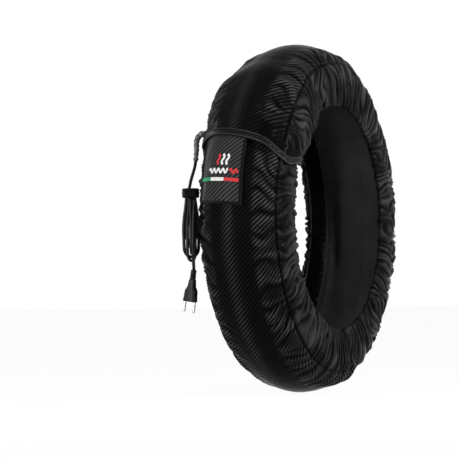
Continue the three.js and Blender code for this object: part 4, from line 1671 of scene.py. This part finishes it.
    def _side(self, line: Array) -> Array:
        """A turning direction for the cord's rings that is never along the cord.

        It is square to the cord and to a direction a little above the hank's front. Where those two
        nearly line up it is the hank's right instead, and it always points to that side.

        Args:
            line: The centre line.

        Returns:
            One direction for each point.
        """
        along = unit(np.gradient(line, axis=0))
        side = np.cross(along, np.broadcast_to(FRONT + 0.15 * UP, along.shape))
        weak = np.linalg.norm(side, axis=1) < 0.25
        side = unit(np.where(weak[:, None], RIGHT, side))
        turned = np.sign((side * RIGHT).sum(1, keepdims=True))
        return side * np.where(turned == 0, 1, turned)

    def _outlet_pieces(self) -> None:
        """The sewn patch, the gland ring and the lumpy strain relief."""
        outlet, normal = self.outlet(), self.outlet_normal()
        place = self.wrap.outlet
        half_around, half_across = 2.6, 7
        turn = place.around + half_around * np.linspace(-1, 1, 30)[:, None]
        section = place.angle + half_across * np.linspace(-1, 1, 30)[None, :]
        dome = 1 - 0.5 * ((turn - place.around) / half_around) ** 6
        dome = dome - 0.5 * ((section - place.angle) / half_across) ** 6
        points = self.wrap.shape.place(turn, section, 0.0087 + 0.0008 * dome)
        parts = MeshParts().shell(points, 0.0012)
        add_piece(parts, "outlet_patch", self.finishes.edging, "trim_tape", "cord_outlet_patch")
        profile = np.array([[6.0, -0.3], [7.6, -0.3], [8.0, 0.2], [8.0, 0.9], [7.5, 1.4],
                            [7.5, 1.9], [7.0, 2.7], [6.4, 3.0], [5.8, 3.1]]) / 1000
        gland = MeshParts().sweep(lathe_rings(profile, 36, outlet, normal, UP))
        add_piece(gland, "gland_ring", self.finishes.plastic, "black_plastic", "cord_gland")
        line = self.boot_line()
        share = np.linspace(0, 1, len(line))
        taper = 0.0056 + (0.0040 - 0.0056) * np.minimum(1, share * 1.15)
        lumps = 0.00075 * np.abs(np.sin(7 * math.pi * share)) ** 1.4
        lumps = lumps * (1 - smoothstep(share, 0.80, 0.86))
        knuckle = 0.0013 * np.exp(-(((share - 0.93) / 0.035) ** 2))
        rings = tube_rings(line, taper - 0.0004 + lumps + knuckle, 24, np.array([1.0, 0.2, 0.1]))
        boot = MeshParts().sweep(rings)
        add_piece(boot, "strain_relief", self.finishes.grey, "grey_plastic", "cord_strain_relief")

    def _tie(self) -> bpy.types.Object:
        """The strap wound three times round the neck of the hank.

        Returns:
            The tie.
        """
        sides, half_across, half_deep = 72, 0.0128, 0.0185
        x, y = squared_ring(sides, 0.62)
        across, deep = half_across * x, half_deep * y
        middle = self.local(across, deep, np.full(sides, 0.041))
        out = self.local(across / half_across**2, deep / half_deep**2, np.zeros(sides))
        out = unit(out - np.array(self.centre))
        wave = np.linspace(0, 1, 31)
        height = 0.0080 * (1 - 2 * wave)
        face = 0.0004 + 0.0013 * np.abs(np.sin(np.pi * 3 * wave)) ** 0.6 + 0.0009 * np.sin(np.pi * wave)
        x = np.concatenate([face, [-0.0008, -0.0016, -0.0016, -0.0008]])
        z = np.concatenate([height, [-0.0080, -0.0070, 0.0070, 0.0080]])
        rings = middle[:, None] + out[:, None] * x[None, :, None] + UP * z[None, :, None]
        tie = MeshParts().loop(rings)
        return add_piece(tie, "hank_tie", self.finishes.edging, "trim_tape", "cord_tie")


@dataclass
class Plug:
    """The moulded plug: a ribbed sleeve, a rounded body with grip ridges, and two round pins."""

    finishes: Finishes
    top: Triple
    lean: float = 8.6
    turn: float = -94.75
    relief: float = 0.016
    body: float = 0.039
    width: float = 0.026
    depth: float = 0.015
    neck: float = 0.011
    pitch: float = 0.019
    pin_radius: float = 0.0024
    pin_length: float = 0.019

    def axes(self) -> tuple[Array, Array, Array]:
        """Across, through and down: turned about the plug's axis, then leant about X.

        Returns:
            The three directions.
        """
        lean = Quaternion((1, 0, 0), math.radians(self.lean))
        turn = Quaternion((0, 0, 1), math.radians(self.turn))
        whole = np.array((lean @ turn).to_matrix())
        return whole[:, 0], whole[:, 1], -whole[:, 2]

    def build(self) -> list[bpy.types.Object]:
        """Make the plug's four pieces.

        Returns:
            The sleeve, the body and the two pins.
        """
        across, through, down = self.axes()
        top = np.array(self.top)
        share = np.linspace(0, 1, 61)
        ribs = 0.0041 + 0.0011 * np.abs(np.sin(np.pi * 5 * share)) ** 0.5 + 0.0003 * share
        profile = np.stack([ribs, share * self.relief], axis=1)
        sleeve = MeshParts().sweep(lathe_rings(profile, 28, top, down, across))
        pieces = [add_piece(sleeve, "plug_sleeve", self.finishes.rubber, "black_plastic", "plug_relief")]
        pieces.append(self._body(top + down * (self.relief + 0.0003), across, through, down))
        for name, side in (("left", -1), ("right", 1)):
            start = top + across * side * self.pitch / 2 + down * (self.relief + self.body + 0.0006)
            pin = MeshParts().sweep(lathe_rings(self._pin_profile(), 24, start, down, across))
            node = f"plug_pin_{name}"
            pieces.append(add_piece(pin, f"pin_{name}", self.finishes.metal, "pin_metal", node))
        return pieces

    def _pin_profile(self) -> Array:
        """Radius and depth down a pin: a straight shank with a round tip.

        Returns:
            Rows of a radius and a depth.
        """
        tip = np.linspace(0, np.pi / 2, 9)[1:]
        shank = self.pin_length - self.pin_radius
        radius = [[0.95 * self.pin_radius], np.full(6, self.pin_radius), self.pin_radius * np.cos(tip)]
        depth = [[0.0], np.linspace(0.0004, shank, 6), shank + self.pin_radius * np.sin(tip)]
        profile = np.stack([np.concatenate(radius), np.concatenate(depth)], axis=1)
        profile[-1, 0] = 1e-6
        return profile

    def _body(self, start: Array, across: Array, through: Array, down: Array) -> bpy.types.Object:
        """The body: a rounded oblong section that widens smoothly from the neck to the face.

        Args:
            start: Middle of the neck.
            across: Direction from pin to pin.
            through: Direction of its thickness.
            down: Direction of the pins.

        Returns:
            The body.
        """
        share = np.concatenate([[0.0, 0.012], np.linspace(0.03, 0.97, 60), [0.988, 1.0]])
        neck, width, depth = self.neck, self.width, self.depth
        wide = np.interp(share, [0, 0.34, 0.52, 1], [neck, 0.55 * width, 0.86 * width, width])
        deep = np.interp(share, [0, 0.34, 0.52, 1], [0.9 * neck, 0.82 * depth, depth, depth])
        ends = np.minimum(1, 0.86 + 0.14 * np.sqrt(np.clip(np.minimum(share, 1 - share) / 0.03, 0, 1)))
        ridged = (share > 0.5) & (share < 0.9)
        grip = 1 - 0.035 * np.abs(np.sin(7 * np.pi * (share - 0.5) / 0.4)) * ridged
        x, y = squared_ring(40, 0.6)
        wide, deep = wide * ends * grip / 2, deep * ends / 2
        section = (wide[:, None] * x)[..., None] * across + (deep[:, None] * y)[..., None] * through
        rings = start + share[:, None, None] * self.body * down + section
        body = MeshParts().sweep(rings)
        return add_piece(body, "plug_moulding", self.finishes.plastic, "black_plastic", "plug_body")


@dataclass
class CarriedNodes:
    """CAD nodes that stay as they are and get their own finish."""

    finishes: Finishes

    def dress(self) -> None:
        """Give each node its material."""
        chosen = {
            "hem_elastic_near": self.finishes.elastic,
            "hem_elastic_far": self.finishes.elastic,
            "insulation_felt": self.finishes.felt,
            "heating_element": self.finishes.heater,
            "thermostat": self.finishes.plastic,
            "supply_lead": self.finishes.rubber,
        }
        for name, material in chosen.items():
            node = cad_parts[name]
            node.data.materials.clear()
            node.data.materials.append(material)


# Camera, lights and surroundings


@dataclass(frozen=True)
class StudioCamera:
    """The view from in front of the flap, level with the ring, through a long lens."""

    distance: float = 5.0
    back: Triple = (-0.9185, -0.3946, -0.0251)
    left_of_centre: float = 0.1302
    below_centre: float = 0.0174
    lens: float = 218.5
    roll: float = -0.77

    def build(self) -> bpy.types.Object:
        """Make the camera and set it as the scene's.

        Returns:
            The camera.
        """
        back = Vector(self.back).normalized()
        right = (-back).cross(Vector((0, 0, 1))).normalized()
        up = right.cross(-back)
        aim = -right * self.left_of_centre - up * self.below_centre
        data = bpy.data.cameras.new("camera")
        data.lens = self.lens
        data.sensor_width = 36
        camera = bpy.data.objects.new("camera", data)
        bpy.context.scene.collection.objects.link(camera)
        camera.location = back * self.distance
        turn = (aim - camera.location).to_track_quat("-Z", "Y")
        camera.rotation_mode = "QUATERNION"
        camera.rotation_quaternion = turn @ Quaternion((0, 0, 1), math.radians(self.roll))
        bpy.context.scene.camera = camera
        return camera


@dataclass(frozen=True)
class SoftBox:
    """A rectangular studio lamp."""

    name: str
    direction: Triple
    distance: float
    width: float
    height: float
    power: float

    def build(self) -> None:
        """Hang the lamp and turn it towards the ring's centre."""
        data = bpy.data.lights.new(self.name, "AREA")
        data.shape = "RECTANGLE"
        data.size, data.size_y, data.energy = self.width, self.height, self.power
        lamp = bpy.data.objects.new(self.name, data)
        bpy.context.scene.collection.objects.link(lamp)
        lamp.location = Vector(self.direction).normalized() * self.distance
        lamp.rotation_mode = "QUATERNION"
        lamp.rotation_quaternion = (-lamp.location).to_track_quat("-Z", "Y")
        lamp.visible_camera = False


@dataclass(frozen=True)
class Studio:
    """Plain pale floor and surroundings with soft boxes."""

    floor_level: float = -0.3133
    ambient: float = 0.04
    floor_glow: float = 0.96
    boxes: tuple[SoftBox, ...] = (
        SoftBox("key_left", (-0.93, 0.36, 0.10), 2.2, 0.13, 1.4, 32.0),
        SoftBox("rim_left", (0.10, 0.97, 0.30), 2.2, 0.12, 1.5, 16.0),
        SoftBox("front_right", (-0.42, -0.90, 0.34), 2.2, 0.15, 1.0, 28.0),
        SoftBox("side_right", (0.16, -1.0, 0.30), 2.2, 0.14, 1.1, 38.0),
        SoftBox("overhead", (-0.30, -0.25, 1.0), 2.2, 0.8, 0.13, 16.0),
    )

    def build(self) -> None:
        """Make the lamps, the floor and the world."""
        for box in self.boxes:
            box.build()
        self._floor()
        self._world()
        bpy.context.scene.view_settings.view_transform = "Standard"

    def _seen(self, tree: bpy.types.NodeTree) -> Socket:
        """1 for rays from the camera, from gloss or through glass.

        Args:
            tree: The tree that takes the nodes.

        Returns:
            The factor.
        """
        path = tree.nodes.new("ShaderNodeLightPath")
        total = path.outputs["Is Camera Ray"]
        for name in ("Is Glossy Ray", "Is Transmission Ray"):
            step = tree.nodes.new("ShaderNodeMath")
            step.operation = "MAXIMUM"
            tree.links.new(total, step.inputs[0])
            tree.links.new(path.outputs[name], step.inputs[1])
            total = step.outputs[0]
        return total

    def _floor(self) -> None:
        """A wide pale plane that glows a little where it is seen and keeps the shadow."""
        half = 20.0
        mesh = bpy.data.meshes.new("floor")
        corners = [(-half, -half), (half, -half), (half, half), (-half, half)]
        mesh.from_pydata([(x, y, self.floor_level) for x, y in corners], [], [(0, 1, 2, 3)])
        floor = bpy.data.objects.new("floor", mesh)
        bpy.context.scene.collection.objects.link(floor)
        nodes = Nodes("pale_floor")
        nodes.finish(Base_Color=(0.86, 0.86, 0.86, 1), Roughness=0.9, Specular_IOR_Level=0.1)
        glow = nodes.add("ShaderNodeEmission", {"Color": (1, 1, 1, 1), "Strength": 1.0})
        share = nodes.math("MULTIPLY", self._seen(nodes.tree), self.floor_glow)
        sources = {0: share, 1: nodes.shader.outputs[0], 2: glow.outputs[0]}
        mixed = nodes.add("ShaderNodeMixShader", sources)
        nodes.join(mixed.outputs[0], nodes.output.inputs[0])
        mesh.materials.append(nodes.material)
        floor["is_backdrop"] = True

    def _world(self) -> None:
        """White where it is seen, and a low even fill for diffuse light."""
        world = bpy.data.worlds.new("surroundings")
        world.use_nodes = True
        tree = world.node_tree
        tree.nodes.clear()
        fill, seen = tree.nodes.new("ShaderNodeBackground"), tree.nodes.new("ShaderNodeBackground")
        fill.inputs[0].default_value = seen.inputs[0].default_value = (1, 1, 1, 1)
        fill.inputs[1].default_value = self.ambient
        seen.inputs[1].default_value = 1.0
        mixed, output = tree.nodes.new("ShaderNodeMixShader"), tree.nodes.new("ShaderNodeOutputWorld")
        tree.links.new(self._seen(tree), mixed.inputs[0])
        tree.links.new(fill.outputs[0], mixed.inputs[1])
        tree.links.new(seen.outputs[0], mixed.inputs[2])
        tree.links.new(mixed.outputs[0], output.inputs[0])
        bpy.context.scene.world = world


def write_size(cad_box: tuple[Vector, Vector]) -> None:
    """Write the CAD box and the visual model's box as plain lists.

    Args:
        cad_box: Lowest and highest corners of the loaded frame.
    """
    boxes = {"cad": [list(corner) for corner in cad_box]}
    boxes["visual"] = [list(corner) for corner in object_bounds()]
    grown = [round(float(b - a) * 1000, 1) for a, b in zip(boxes["cad"][1], boxes["visual"][1])]
    shrunk = [round(float(a - b) * 1000, 1) for a, b in zip(boxes["cad"][0], boxes["visual"][0])]
    LOG.info("past the CAD box in mm: low %s high %s", shrunk, grown)


def main() -> None:
    """Build the scene in order: camera, cord, cover, inside, tab and studio."""
    logging.basicConfig(level=logging.INFO, format="%(message)s")
    cad_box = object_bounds()
    StudioCamera().build()
    finishes = Finishes()
    wrap = Wrap()
    Cord(wrap, finishes).build()
    TreadPanel(wrap, finishes).build()
    Skirt(wrap, finishes, -1).build()
    Skirt(wrap, finishes, 1).build()
    EndBinding(wrap, finishes).build()
    Lining(wrap, finishes).build()
    PullTab(wrap, finishes).build()
    Closures(wrap, finishes).build()
    CarriedNodes(finishes).dress()
    Studio().build()
    write_size(cad_box)


if __name__ == "__main__":
    main()
